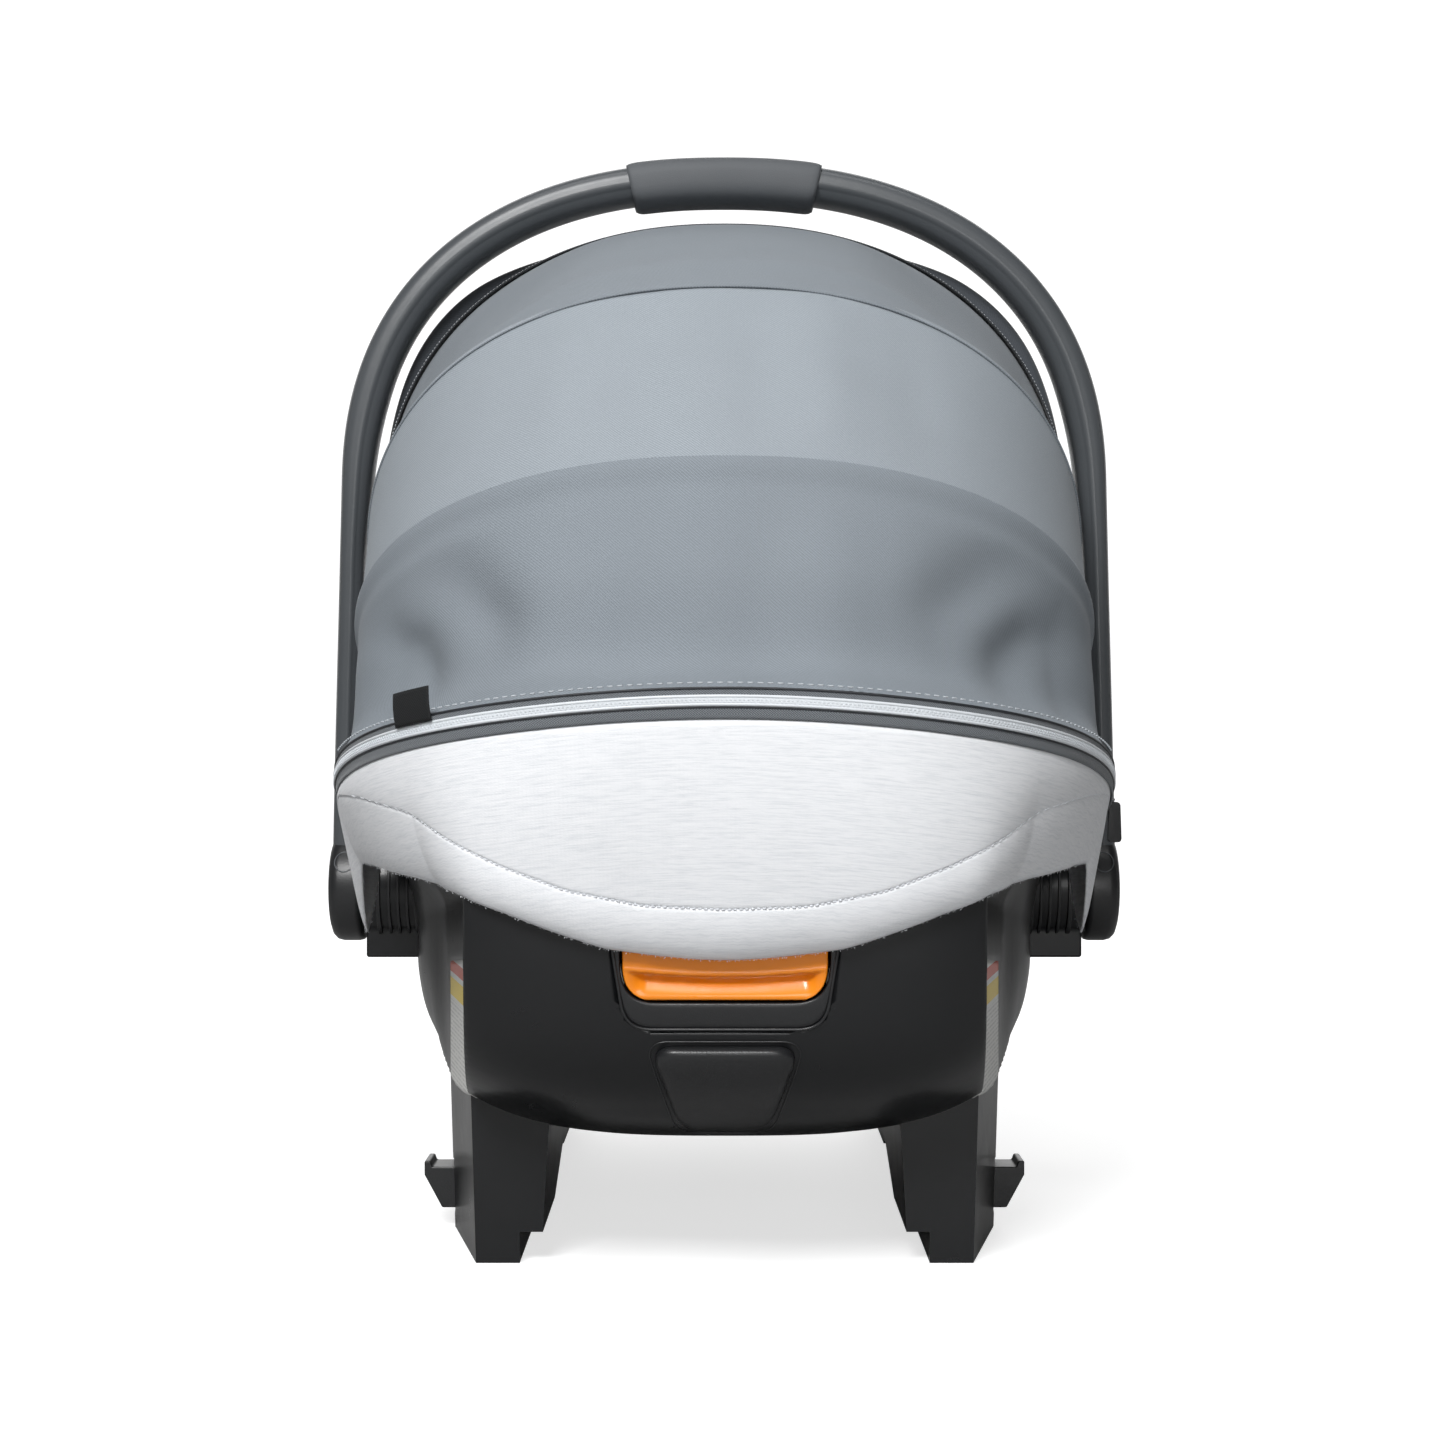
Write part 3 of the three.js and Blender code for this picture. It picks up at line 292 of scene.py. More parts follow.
def thick_grid(name, outer, inner, wrap=False):
    """A closed body between two grids of points, with its weave laid out along the outer one."""
    rows, columns = outer.shape[:2]
    size = rows * columns
    faces = quads(rows, columns, wrap) + [f[::-1] for f in quads(rows, columns, wrap, size)]
    border = [list(range(columns)), [(rows - 1) * columns + j for j in range(columns)][::-1]]
    if wrap:
        border = [line + line[:1] for line in border]
    else:
        border.append([i * columns for i in range(rows)][::-1])
        border.append([i * columns + columns - 1 for i in range(rows)])
    for line in border:
        faces += [[b, a, a + size, b + size] for a, b in zip(line, line[1:])]
    steps = np.linalg.norm(np.diff(outer, axis=1), axis=-1).mean(axis=0)
    along = np.concatenate([[0], np.cumsum(steps)])
    down = np.vstack([np.zeros(columns), np.cumsum(np.linalg.norm(np.diff(outer, axis=0), axis=-1), axis=0)])
    uv = np.stack([np.broadcast_to(along, (rows, columns)), down], -1).reshape(-1, 2)
    verts = np.concatenate([outer.reshape(-1, 3), inner.reshape(-1, 3)])
    return tidy_mesh(add_object(name, verts, faces, np.concatenate([uv, uv])))


def loft(name, rings, closed_ends=True):
    """A body through rings of points, closed by a fan at each end."""
    rings = np.asarray(rings, float)
    count, size = rings.shape[:2]
    verts = rings.reshape(-1, 3)
    faces = quads(count, size, wrap=True)
    if closed_ends:
        verts = np.concatenate([verts, [rings[0].mean(0), rings[-1].mean(0)]])
        first, last = count * size, count * size + 1
        faces += [[(j + 1) % size, j, first] for j in range(size)]
        base = (count - 1) * size
        faces += [[base + j, base + (j + 1) % size, last] for j in range(size)]
    lengths = np.concatenate([[0], np.cumsum(np.linalg.norm(np.diff(rings[:, 0], axis=0), axis=-1))])
    around = np.concatenate([[0], np.cumsum(np.linalg.norm(np.diff(rings, axis=1), axis=-1).mean(axis=0))])
    uv = np.stack(np.meshgrid(lengths, around, indexing="ij"), -1).reshape(-1, 2)
    if closed_ends:
        uv = np.concatenate([uv, [[0, 0], [lengths[-1], 0]]])
    return tidy_mesh(add_object(name, verts, faces, uv))


def tube(name, path, radius, sides=10, closed=False):
    """A round cord along a path of points."""
    path = np.asarray(path, float)
    along = unit(np.roll(path, -1, 0) - np.roll(path, 1, 0)) if closed else unit(np.gradient(path, axis=0))
    up = unit(np.cross(along, np.cross(np.array([0.0, 0.1, 1.0]), along)))
    side = np.cross(along, up)
    turn = np.linspace(0, 2 * np.pi, sides, endpoint=False)[None, :, None]
    radius = np.broadcast_to(np.asarray(radius, float), (len(path),))[:, None, None]
    rings = path[:, None] + radius * (np.cos(turn) * up[:, None] + np.sin(turn) * side[:, None])
    if closed:
        rings = np.concatenate([rings, rings[:1]])
    return loft(name, rings, closed_ends=not closed)


def blocks(name, centres, xs, ys, zs, size, taper=0.0):
    """Many small bevelled blocks: one at each centre, with its own three axes, all of one size."""
    signs = np.array([[-1, -1, -1], [1, -1, -1], [1, 1, -1], [-1, 1, -1], [-1, -1, 1], [1, -1, 1], [1, 1, 1], [-1, 1, 1]], float)
    half = np.asarray(size, float) / 2
    scale = np.where(signs[:, 2:] > 0, 1 - taper, 1.0) * np.array([1, 1, 0]) + np.array([0, 0, 1])
    corners = signs * half * scale
    axes = np.stack([xs, ys, zs], axis=1)
    verts = centres[:, None] + corners @ axes
    box = [[0, 3, 2, 1], [4, 5, 6, 7], [0, 1, 5, 4], [1, 2, 6, 5], [2, 3, 7, 6], [3, 0, 4, 7]]
    faces = [[8 * i + k for k in face] for i in range(len(centres)) for face in box]
    return tidy_mesh(add_object(name, verts.reshape(-1, 3), faces), smooth=False)


def apply_modifiers(piece):
    bpy.context.view_layer.update()
    evaluated = piece.evaluated_get(bpy.context.evaluated_depsgraph_get())
    mesh = bpy.data.meshes.new_from_object(evaluated)
    piece.modifiers.clear()
    piece.data = mesh
    return piece


def bevelled(piece, width, segments=2, angle=35):
    bevel = piece.modifiers.new("edges", "BEVEL")
    bevel.width = width * MM
    bevel.segments = segments
    bevel.limit_method = "ANGLE"
    bevel.angle_limit = math.radians(angle)
    bevel.harden_normals = False
    bevel.use_clamp_overlap = True
    apply_modifiers(piece)
    piece.data.polygons.foreach_set("use_smooth", [True] * len(piece.data.polygons))
    weighted = piece.modifiers.new("shading", "WEIGHTED_NORMAL")
    weighted.keep_sharp = True
    return apply_modifiers(piece)


def refined(node, width=0.8, segments=2, flat=2.0):
    """A finished copy of a hard CAD node, with its flat faces joined and its edges rounded."""
    piece = bpy.data.objects.new(f"{node}_finish", nodes[node].data.copy())
    bpy.context.scene.collection.objects.link(piece)
    work = bmesh.new()
    work.from_mesh(piece.data)
    bmesh.ops.remove_doubles(work, verts=work.verts, dist=1e-5)
    bmesh.ops.dissolve_limit(work, angle_limit=math.radians(flat), verts=work.verts, edges=work.edges)
    work.to_mesh(piece.data)
    work.free()
    return bevelled(piece, width, segments)


def joined(name, pieces):
    """One object holding the meshes of several."""
    work = bmesh.new()
    for piece in pieces:
        work.from_mesh(piece.data)
    mesh = bpy.data.meshes.new(name)
    work.to_mesh(mesh)
    work.free()
    for piece in pieces:
        bpy.data.objects.remove(piece)
    whole = bpy.data.objects.new(name, mesh)
    bpy.context.scene.collection.objects.link(whole)
    return whole


def cut_by(piece, tool, operation="DIFFERENCE"):
    boolean = piece.modifiers.new("cut", "BOOLEAN")
    boolean.operation = operation
    boolean.object = tool
    boolean.solver = "EXACT"
    apply_modifiers(piece)
    bpy.data.objects.remove(tool)
    return piece


def dress(piece, material, body="shell_body", replaces=()):
    piece.data.materials.clear()
    piece.data.materials.append(material)
    if replaces:
        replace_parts(piece, *replaces)
    if body:
        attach(piece, body)
    return piece


# ---------------------------------------------------------------- materials


class Look:
    """A procedural material with short calls for its nodes."""

    def __init__(self, name, rough=0.5, specular=0.5, coat=0.0, coat_rough=0.1, sheen=0.0, metal=0.0):
        self.material = bpy.data.materials.new(name)
        self.material.use_nodes = True
        self.tree = self.material.node_tree
        self.shader = self.tree.nodes["Principled BSDF"]
        self.set(Roughness=rough, Metallic=metal)
        self.shader.inputs["Specular IOR Level"].default_value = specular
        self.shader.inputs["Coat Weight"].default_value = coat
        self.shader.inputs["Coat Roughness"].default_value = coat_rough
        self.shader.inputs["Sheen Weight"].default_value = sheen
        self.shader.inputs["Sheen Roughness"].default_value = 0.5
        self.where = self.node("ShaderNodeTexCoord").outputs["Object"]

    def node(self, kind, inputs=(), **settings):
        node = self.tree.nodes.new(kind)
        for key, value in settings.items():
            setattr(node, key, value)
        for key, value in dict(inputs).items():
            self.plug(node.inputs[key], value)
        return node

    def plug(self, socket, value):
        if isinstance(value, bpy.types.NodeSocket):
            self.tree.links.new(value, socket)
        else:
            socket.default_value = value

    def set(self, **inputs):
        for key, value in inputs.items():
            self.plug(self.shader.inputs[key.replace("_", " ")], value)

    def weave_uv(self):
        return self.node("ShaderNodeUVMap", uv_map="weave").outputs[0]

    def scaled(self, vector, scale):
        return self.node("ShaderNodeMapping", {0: vector, "Scale": scale}).outputs[0]

    def turned(self, vector, degrees):
        return self.node("ShaderNodeMapping", {0: vector, "Rotation": (0, 0, math.radians(degrees))}).outputs[0]

    def noise(self, scale, detail=2.0, vector=None, rough=0.5):
        inputs = {"Vector": self.where if vector is None else vector, "Scale": scale, "Detail": detail, "Roughness": rough}
        return self.node("ShaderNodeTexNoise", inputs).outputs[0]

    def cells(self, scale, vector=None, feature="F1"):
        inputs = {"Vector": self.where if vector is None else vector, "Scale": scale}
        return self.node("ShaderNodeTexVoronoi", inputs, feature=feature).outputs["Distance"]

    def bands(self, scale, vector, direction="X", profile="SIN", distortion=0.0):
        inputs = {"Vector": vector, "Scale": scale, "Distortion": distortion}
        node = self.node("ShaderNodeTexWave", inputs, wave_type="BANDS", bands_direction=direction, wave_profile=profile)
        return node.outputs["Fac"]

    def sum(self, operation, a, b, clamp=False):
        return self.node("ShaderNodeMath", {0: a, 1: b}, operation=operation, use_clamp=clamp).outputs[0]

    def part(self, vector, axis):
        return self.node("ShaderNodeSeparateXYZ", {0: vector}).outputs[axis]

    def ramp(self, value, stops, interpolation="LINEAR"):
        node = self.node("ShaderNodeValToRGB", {0: value})
        node.color_ramp.interpolation = interpolation
        elements = node.color_ramp.elements
        while len(elements) < len(stops):
            elements.new(0.5)
        for element, (at, colour) in zip(elements, stops):
            element.position = at
            element.color = (*colour, 1) if hasattr(colour, "__len__") else (colour, colour, colour, 1)
        return node.outputs[0]

    def blend(self, share, a, b):
        node = self.node("ShaderNodeMix", data_type="RGBA")
        self.plug(node.inputs[0], share)
        for socket, value in ((node.inputs[6], a), (node.inputs[7], b)):
            self.plug(socket, value if isinstance(value, bpy.types.NodeSocket) else (*value, 1))
        return node.outputs[2]

    def range(self, value, low, high):
        inputs = {0: value, 3: low, 4: high}
        return self.node("ShaderNodeMapRange", inputs).outputs[0]

    def bump(self, height, strength, distance, normal=None):
        inputs = {"Height": height, "Strength": strength, "Distance": distance}
        if normal is not None:
            inputs["Normal"] = normal
        return self.node("ShaderNodeBump", inputs).outputs[0]


def shade(colour, factor):
    return tuple(min(1.0, c * factor) for c in colour)


def plastic(name, colour, rough, grain=0.0, grain_scale=1400, coat=0.0, specular=0.5, wear=0.25):
    """Moulded plastic: faint colour drift, uneven gloss, orange peel, fine grain and paler rubbed edges."""
    look = Look(name, rough, specular, coat, coat_rough=0.08)
    drift = look.noise(9, 3)
    colour_node = look.blend(look.range(drift, 0, 1), shade(colour, 0.82), shade(colour, 1.2))
    edge = look.node("ShaderNodeNewGeometry").outputs["Pointiness"]
    rubbed = look.ramp(edge, [(0.53, 0.0), (0.62, 1.0)])
    patches = look.sum("MULTIPLY", rubbed, look.range(look.noise(60, 3), 0.0, wear))
    look.set(Base_Color=look.blend(patches, colour_node, shade([c + 0.03 for c in colour], 2.0)))
    smudges = look.noise(22, 5, rough=0.65)
    look.set(Roughness=look.range(smudges, rough - 0.07, rough + 0.09))
    peel = look.bump(look.noise(160, 1), 0.05, 0.001)
    if grain:
        peel = look.bump(look.cells(grain_scale), grain, 0.0002, peel)
    look.set(Normal=peel)
    return look.material


def twill(name, colour, pitch=1.1, sheen=0.25, contrast=0.18, bump=0.35, degrees=45.0):
    """Fine diagonal weave with slubs, soft mottling and a faint sheen."""
    look = Look(name, 0.82, 0.25, sheen=sheen)
    uv = look.weave_uv()
    turned = look.turned(uv, degrees)
    scale = 1 / (pitch * MM) / 6.283 * 2
    ribs = look.bands(scale, turned, "X", distortion=0.6)
    threads = look.bands(scale * 1.4, turned, "Y", distortion=0.8)
    weave = look.sum("ADD", look.sum("MULTIPLY", ribs, 0.65), look.sum("MULTIPLY", threads, 0.35))
    fuzz = look.noise(820, 3, uv, 0.75)
    grain = look.sum("ADD", look.sum("MULTIPLY", weave, 0.55), look.sum("MULTIPLY", fuzz, 0.45))
    tone = look.blend(look.range(grain, 0, 1), shade(colour, 1 - contrast), shade(colour, 1 + contrast))
    mottled = look.blend(look.range(look.noise(30, 4), 0.0, 0.35), tone, shade(colour, 0.8))
    look.set(Base_Color=mottled, Roughness=look.range(fuzz, 0.72, 0.92))
    look.set(Normal=look.bump(weave, bump, 0.0003, look.bump(fuzz, 0.2, 0.0003)))
    return look.material


def heather(name, colour, streak=0.085):
    """Heathered jersey: short streaks of darker fibre along the courses, over fine knit loops."""
    look = Look(name, 0.9, 0.2, sheen=0.12)
    uv = look.weave_uv()
    long_streaks = look.noise(1, 4, look.scaled(uv, (46, 900, 1)), 0.6)
    fine_streaks = look.noise(1, 3, look.scaled(uv, (140, 2400, 1)), 0.6)
    streaks = look.sum("ADD", look.sum("MULTIPLY", long_streaks, 0.55), look.sum("MULTIPLY", fine_streaks, 0.45))
    shares = look.ramp(streaks, [(0.36, 1.0), (0.52, 0.25), (0.66, 0.0)])
    tone = look.blend(look.sum("MULTIPLY", shares, streak * 4), colour, (0.36, 0.40, 0.44))
    look.set(Base_Color=tone)
    loops = look.bands(170, look.turned(uv, 0), "X", distortion=1.0)
    courses = look.bands(230, uv, "Y", distortion=0.6)
    knit = look.sum("MULTIPLY", loops, courses)
    fuzz = look.noise(900, 3, look.scaled(look.where, (1, 1, 1.6)), 0.7)
    look.set(Normal=look.bump(knit, 0.12, 0.0003, look.bump(fuzz, 0.3, 0.0004)))
    return look.material


def object_weave(name, colour, pitch, bump=0.5, contrast=0.3, sheen=0.2):
    """Ribbed webbing or tape, laid out on the weave map."""
    look = Look(name, 0.75, 0.3, sheen=sheen)
    uv = look.weave_uv()
    scale = 1 / (pitch * MM) / 6.283 * 2
    warp = look.bands(scale, uv, "Y")
    turned = look.turned(uv, 38)
    ribs = look.bands(scale * 0.7, turned, "X")
    weave = look.sum("MULTIPLY", look.range(warp, 0.4, 1), look.range(ribs, 0.3, 1))
    fuzz = look.noise(1200, 2, uv, 0.7)
    tone = look.blend(weave, shade(colour, 1 - contrast), shade(colour, 1 + contrast))
    look.set(Base_Color=look.blend(look.range(fuzz, 0, 0.4), tone, shade(colour, 0.7)))
    look.set(Normal=look.bump(weave, bump, 0.0004, look.bump(fuzz, 0.2, 0.0002)))
    return look.material


def herringbone(name, light, dark):
    """Zip tape: slanting ribs that turn back every few millimetres."""
    look = Look(name, 0.8, 0.25, sheen=0.2)
    uv = look.weave_uv()
    across = look.part(uv, 1)
    fold = look.node("ShaderNodeMath", {0: across, 1: 0.0022}, operation="PINGPONG").outputs[0]
    slant = look.sum("ADD", look.part(uv, 0), look.sum("MULTIPLY", fold, 1.4))
    ribs = look.bands(260, look.node("ShaderNodeCombineXYZ", {0: slant}).outputs[0], "X")
    fuzz = look.noise(1400, 2, uv, 0.7)
    share = look.sum("ADD", look.sum("MULTIPLY", ribs, 0.7), look.sum("MULTIPLY", fuzz, 0.3))
    look.set(Base_Color=look.blend(share, dark, light))
    look.set(Normal=look.bump(ribs, 0.5, 0.0004))
    return look.material


def foam(name, colour):
    look = Look(name, 0.85, 0.3)
    beads = look.cells(260)
    look.set(Base_Color=look.blend(look.range(beads, 0, 0.6), shade(colour, 1.05), shade(colour, 0.8)))
    look.set(Normal=look.bump(beads, 0.6, 0.001))
    return look.material


def metal(name, colour, rough):
    look = Look(name, rough, metal=1.0)
    brushed = look.noise(1, 4, look.scaled(look.where, (40, 900, 900)))
    look.set(Base_Color=look.blend(brushed, shade(colour, 0.8), shade(colour, 1.1)))
    look.set(Roughness=look.range(brushed, rough - 0.1, rough + 0.15))
    look.set(Normal=look.bump(look.noise(90, 2), 0.08, 0.0005))
    return look.material


def label_film(name):
    """Blank label film: pale, with a yellow band near its top and plain grey bars below."""
    look = Look(name, 0.45, 0.4, coat=0.3)
    height = look.part(look.where, 2)
    level = look.range(height, 0, 1)
    level.node.inputs[1].default_value = 0.040
    level.node.inputs[2].default_value = 0.140
    white, grey, yellow, red = (0.72, 0.72, 0.69), (0.33, 0.34, 0.34), (0.85, 0.62, 0.03), (0.62, 0.09, 0.04)
    bands = [(0.0, white), (0.62, white), (0.80, yellow), (0.89, white), (0.915, red), (0.975, white)]
    base = look.ramp(level, bands, "CONSTANT")
    rows = look.bands(150, look.where, "Z")
    words = look.noise(1, 2, look.scaled(look.where, (0, 330, 240)))
    bars = look.sum("MULTIPLY", look.ramp(rows, [(0.55, 0.0), (0.62, 1.0)]), look.ramp(words, [(0.42, 0.0), (0.46, 1.0)]))
    lower = look.ramp(level, [(0.0, 1.0), (0.78, 0.0)], "CONSTANT")
    look.set(Base_Color=look.blend(look.sum("MULTIPLY", look.sum("MULTIPLY", bars, lower), 0.5), base, grey))
    look.set(Normal=look.bump(look.noise(200, 1), 0.04, 0.0005))
    return look.material


SHELL_BLACK = plastic("shell_black", (0.009, 0.0095, 0.0105), 0.29, coat=0.1, specular=0.36, wear=0.0)
TRIM_BLACK = plastic("trim_black", (0.0135, 0.014, 0.0152), 0.36, grain=0.2, specular=0.55, wear=0.0)
HANDLE_GREY = plastic("handle_grey", (0.066, 0.072, 0.078), 0.36, grain=0.12, grain_scale=2200, wear=0.15)
GRIP_GREY = plastic("grip_soft", (0.085, 0.091, 0.098), 0.62, grain=0.35, grain_scale=1800, specular=0.35, wear=0.1)
ORANGE = plastic("lever_orange", (0.93, 0.25, 0.007), 0.22, coat=0.35, specular=0.42, wear=0.0)
RED = plastic("button_red", (0.50, 0.022, 0.014), 0.28, coat=0.3, wear=0.0)
ZIP_WHITE = plastic("zip_white", (0.62, 0.65, 0.68), 0.38, wear=0.0)
PIPING_BLACK = plastic("piping_black", (0.018, 0.020, 0.024), 0.55, grain=0.3, wear=0.0)
THREAD_PALE = plastic("thread_pale", (0.42, 0.45, 0.48), 0.7, grain=0.4, wear=0.0)
THREAD_WHITE = plastic("thread_white", (0.70, 0.72, 0.75), 0.7, grain=0.4, wear=0.0)
CANOPY_TWILL = twill("canopy_twill", (0.208, 0.234, 0.260), sheen=0.05, contrast=0.44)
# A lighter copy of the canopy cloth: painted light for the middle panel, which faces up into the top lamp.
CANOPY_PAINTED_LIT = twill("canopy_twill_painted_lit", (0.272, 0.302, 0.331), sheen=0.05, contrast=0.42)
CANOPY_FRONT = twill("canopy_twill_front", (0.205, 0.228, 0.251), sheen=0.05, contrast=0.42)
VISOR_TWILL = twill("visor_twill", (0.060, 0.067, 0.077), sheen=0.15)
JERSEY = heather("jersey", (0.80, 0.81, 0.83))
JERSEY_PAD = heather("jersey_pad", (0.72, 0.73, 0.75))
JERSEY_DARK = heather("jersey_dark", (0.20, 0.22, 0.245))
TAPE = herringbone("zip_tape", (0.23, 0.25, 0.27), (0.045, 0.05, 0.056))
DARK_TAPE = herringbone("zip_tape_dark", (0.05, 0.055, 0.06), (0.012, 0.013, 0.015))
WEBBING = object_weave("webbing", (0.028, 0.031, 0.035), 1.6, sheen=0.06)
TAG_BLACK = object_weave("tag_black", (0.010, 0.011, 0.012), 0.7, contrast=0.2, sheen=0.02)
FOAM = foam("foam", (0.78, 0.78, 0.76))
STEEL = metal("steel", (0.56, 0.56, 0.57), 0.34)
LABEL = label_film("label_film")

# ---------------------------------------------------------------- camera, light and floor

camera = bpy.data.objects.new("camera", bpy.data.cameras.new("camera"))
bpy.context.scene.collection.objects.link(camera)
camera.location = (-0.00224, -1.4, 0.257)
camera.rotation_euler = (math.radians(90), 0, 0)
camera.data.lens = 62.6
camera.data.sensor_width = 36
bpy.context.scene.camera = camera


def area_light(name, place, aim, size, watts, size_y=None):
    light = bpy.data.lights.new(name, "AREA")
    light.shape = "RECTANGLE"
    light.size = size
    light.size_y = size_y or size
    light.energy = watts
    lamp = bpy.data.objects.new(name, light)
    bpy.context.scene.collection.objects.link(lamp)
    lamp.location = place
    lamp.rotation_mode = "QUATERNION"
    lamp.rotation_quaternion = (Vector(aim) - Vector(place)).to_track_quat("-Z", "Y")


area_light("key", (-0.5, -1.85, 1.75), (0, -0.1, 0.3), 0.8, 58)
area_light("fill", (0.35, -2.6, 0.6), (0, 0, 0.25), 0.8, 10)
area_light("top", (0, -0.25, 2.0), (0, -0.2, 0.3), 1.3, 7, 0.4)
area_light("left_strip", (-1.3, 0.1, 0.4), (0, -0.1, 0.25), 0.2, 0.7, 1.4)
area_light("right_strip", (1.3, 0.1, 0.4), (0, -0.1, 0.25), 0.2, 0.7, 1.4)
area_light("behind", (0, 1.9, 1.3), (0, 0, 0.3), 1.6, 10)

world = bpy.data.worlds.new("studio")
world.use_nodes = True
links, sky = world.node_tree.links, world.node_tree.nodes
place, split, level = sky.new("ShaderNodeTexCoord"), sky.new("ShaderNodeSeparateXYZ"), sky.new("ShaderNodeFloatCurve")
links.new(place.outputs["Generated"], split.inputs[0])
links.new(split.outputs["Y"], level.inputs["Value"])
curve = level.mapping
curve.clip_min_x, curve.clip_max_y = -1, 2
curve.curves[0].points[0].location = (-1, 0.16)
curve.curves[0].points[1].location = (1, 1.15)
for spot in ((-0.4, 0.07), (0.5, 0.08), (0.88, 1.1)):
    curve.curves[0].points.new(*spot)
curve.update()
seen_sky, pale, strength = sky.new("ShaderNodeLightPath"), sky.new("ShaderNodeMath"), sky.new("ShaderNodeMath")
pale.operation = "MULTIPLY"
pale.inputs[1].default_value = 1.12
strength.operation = "MAXIMUM"
links.new(seen_sky.outputs["Is Camera Ray"], pale.inputs[0])
links.new(pale.outputs[0], strength.inputs[0])
links.new(level.outputs[0], strength.inputs[1])
links.new(strength.outputs[0], sky["Background"].inputs["Strength"])
sky["Background"].inputs["Color"].default_value = (1, 1, 1, 1)
bpy.context.scene.world = world
bpy.context.scene.view_settings.view_transform = "Standard"

floor = add_object("floor", [[-9000, -9000, 0], [9000, -9000, 0], [9000, 9000, 0], [-9000, 9000, 0]], [[0, 1, 2, 3]])
floor_look = Look("floor", 0.6, 0.2)
seen = floor_look.node("ShaderNodeLightPath").outputs["Is Camera Ray"]
floor_look.set(Base_Color=floor_look.blend(seen, (0.36, 0.36, 0.36), (0.55, 0.55, 0.55)))
away = floor_look.node("ShaderNodeVectorMath", {0: floor_look.where}, operation="LENGTH").outputs["Value"]
distance = floor_look.sum("MULTIPLY", away, 0.4)
floor_look.set(Emission_Strength=floor_look.sum("MULTIPLY", seen, floor_look.range(distance, 0.66, 1.0)))
floor_look.set(Emission_Color=(1, 1, 1, 1))
floor.data.materials.append(floor_look.material)

# ---------------------------------------------------------------- shell, rails and back panel


def rounded(corners, radius, arc=10):
    """A closed outline through corners, each rounded off over the length radius."""
    corners = np.asarray(corners, float)
    points = []
    for i, corner in enumerate(corners):
        before = corner + unit(corners[i - 1] - corner) * radius
        after = corner + unit(corners[(i + 1) % len(corners)] - corner) * radius
        t = np.linspace(0, 1, arc)[:, None]
        points.append((1 - t) ** 2 * before + 2 * t * (1 - t) * corner + t**2 * after)
    return np.concatenate(points)


def polar(outline, centre, count):
    """The outline as one point for each of count directions from its centre."""
    closed = resample(np.vstack([outline, outline[:1]]), 4000)[:-1] - centre
    angle, reach = np.arctan2(closed[:, 1], closed[:, 0]), np.hypot(closed[:, 0], closed[:, 1])
    order = np.argsort(angle)
    where = np.linspace(-np.pi, np.pi, count, endpoint=False)
    reach = np.interp(where, angle[order], reach[order], period=2 * np.pi)
    return np.stack([reach * np.cos(where), reach * np.sin(where)], -1) + centre


def half_widths(outline, levels):
    """Half width of a symmetric outline at each level."""
    right = outline[outline[:, 0] >= 0]
    fine = resample(right[np.argsort(right[:, 1], kind="stable")], 2000)
    return np.array([fine[np.abs(fine[:, 1] - level) < 0.6, 0].max(initial=0) for level in levels])


def eased(count, sharpness=2.2):
    """Steps from -1 to 1 that crowd towards both ends."""
    t = np.linspace(-1, 1, count)
    return np.sign(t) * (1 - (1 - np.abs(t)) ** sharpness)


def facade(name, outline, depth, thickness, rows=46, columns=90, edge=1.2):
    """A curved plate on the back panel; depth(x, z) lifts its face, and its border is rounded."""
    low, high = outline[:, 1].min(), outline[:, 1].max()
    levels = high - (eased(rows) + 1) / 2 * (high - low)
    widths = half_widths(outline, np.clip(levels, low + 0.05, high - 0.05))
    share = eased(columns)
    x, z = widths[:, None] * share[None, :], np.repeat(levels[:, None], columns, axis=1)
    inset = np.minimum(widths[:, None] * (1 - np.abs(share)), np.minimum(z - low, high - z))
    fall = np.clip(1 - inset / edge, 0, 1)
    lift = depth(x, z) - edge * (1 - np.sqrt(np.maximum(0, 1 - fall**2)))
    face = back_panel(x, z)
    outer, inner = face.copy(), face.copy()
    outer[..., 1] -= lift
    inner[..., 1] = np.maximum(face[..., 1], outer[..., 1]) + thickness
    return thick_grid(name, outer, inner)


bezel_outline = rounded([[-44, 120], [44, 120], [54, 186], [-54, 186]], 12)
window_outline = rounded([[-44.7, 119.4], [44.7, 119.4], [54.7, 186.6], [-54.7, 186.6]], 12)
lever_outline = rounded([[-45.4, 133], [45.4, 133], [45.4, 172], [-45.4, 172]], 16)
pocket_outline = rounded([[-46.6, 131.8], [46.6, 131.8], [46.6, 181.0], [-46.6, 181.0]], 16.5)


def make_shell():
    angles, rows = even_angles(368), np.concatenate([np.linspace(0, 6, 64), np.linspace(6.12, 7.9, 12), [8]])
    outer = bowl(SHELL, angles[None, :], rows[:, None])
    inner = bowl(SHELL, angles[None, :], rows[:, None], -3.0)
    inner[0, :, 2] = outer[0, :, 2]
    inner[-1] = outer[-1] + [0, 0, 3]
    skin = thick_grid("shell_skin", outer, inner, wrap=True)
    prism = [[[x, y, z] for x, z in window_outline] for y in (-335, -250)]
    cut_by(skin, loft("window", prism))
    skin.data.polygons.foreach_set("use_smooth", [True] * len(skin.data.polygons))
    weighted = skin.modifiers.new("shading", "WEIGHTED_NORMAL")
    weighted.keep_sharp = True
    apply_modifiers(skin)
    dress(skin, SHELL_BLACK, replaces=["shell"])
    band = even_angles(300)
    lip = tube("shell_rim_bead", bowl(SHELL, band, 0.35, 0.1), 1.1, 8, closed=True)
    dress(lip, SHELL_BLACK)


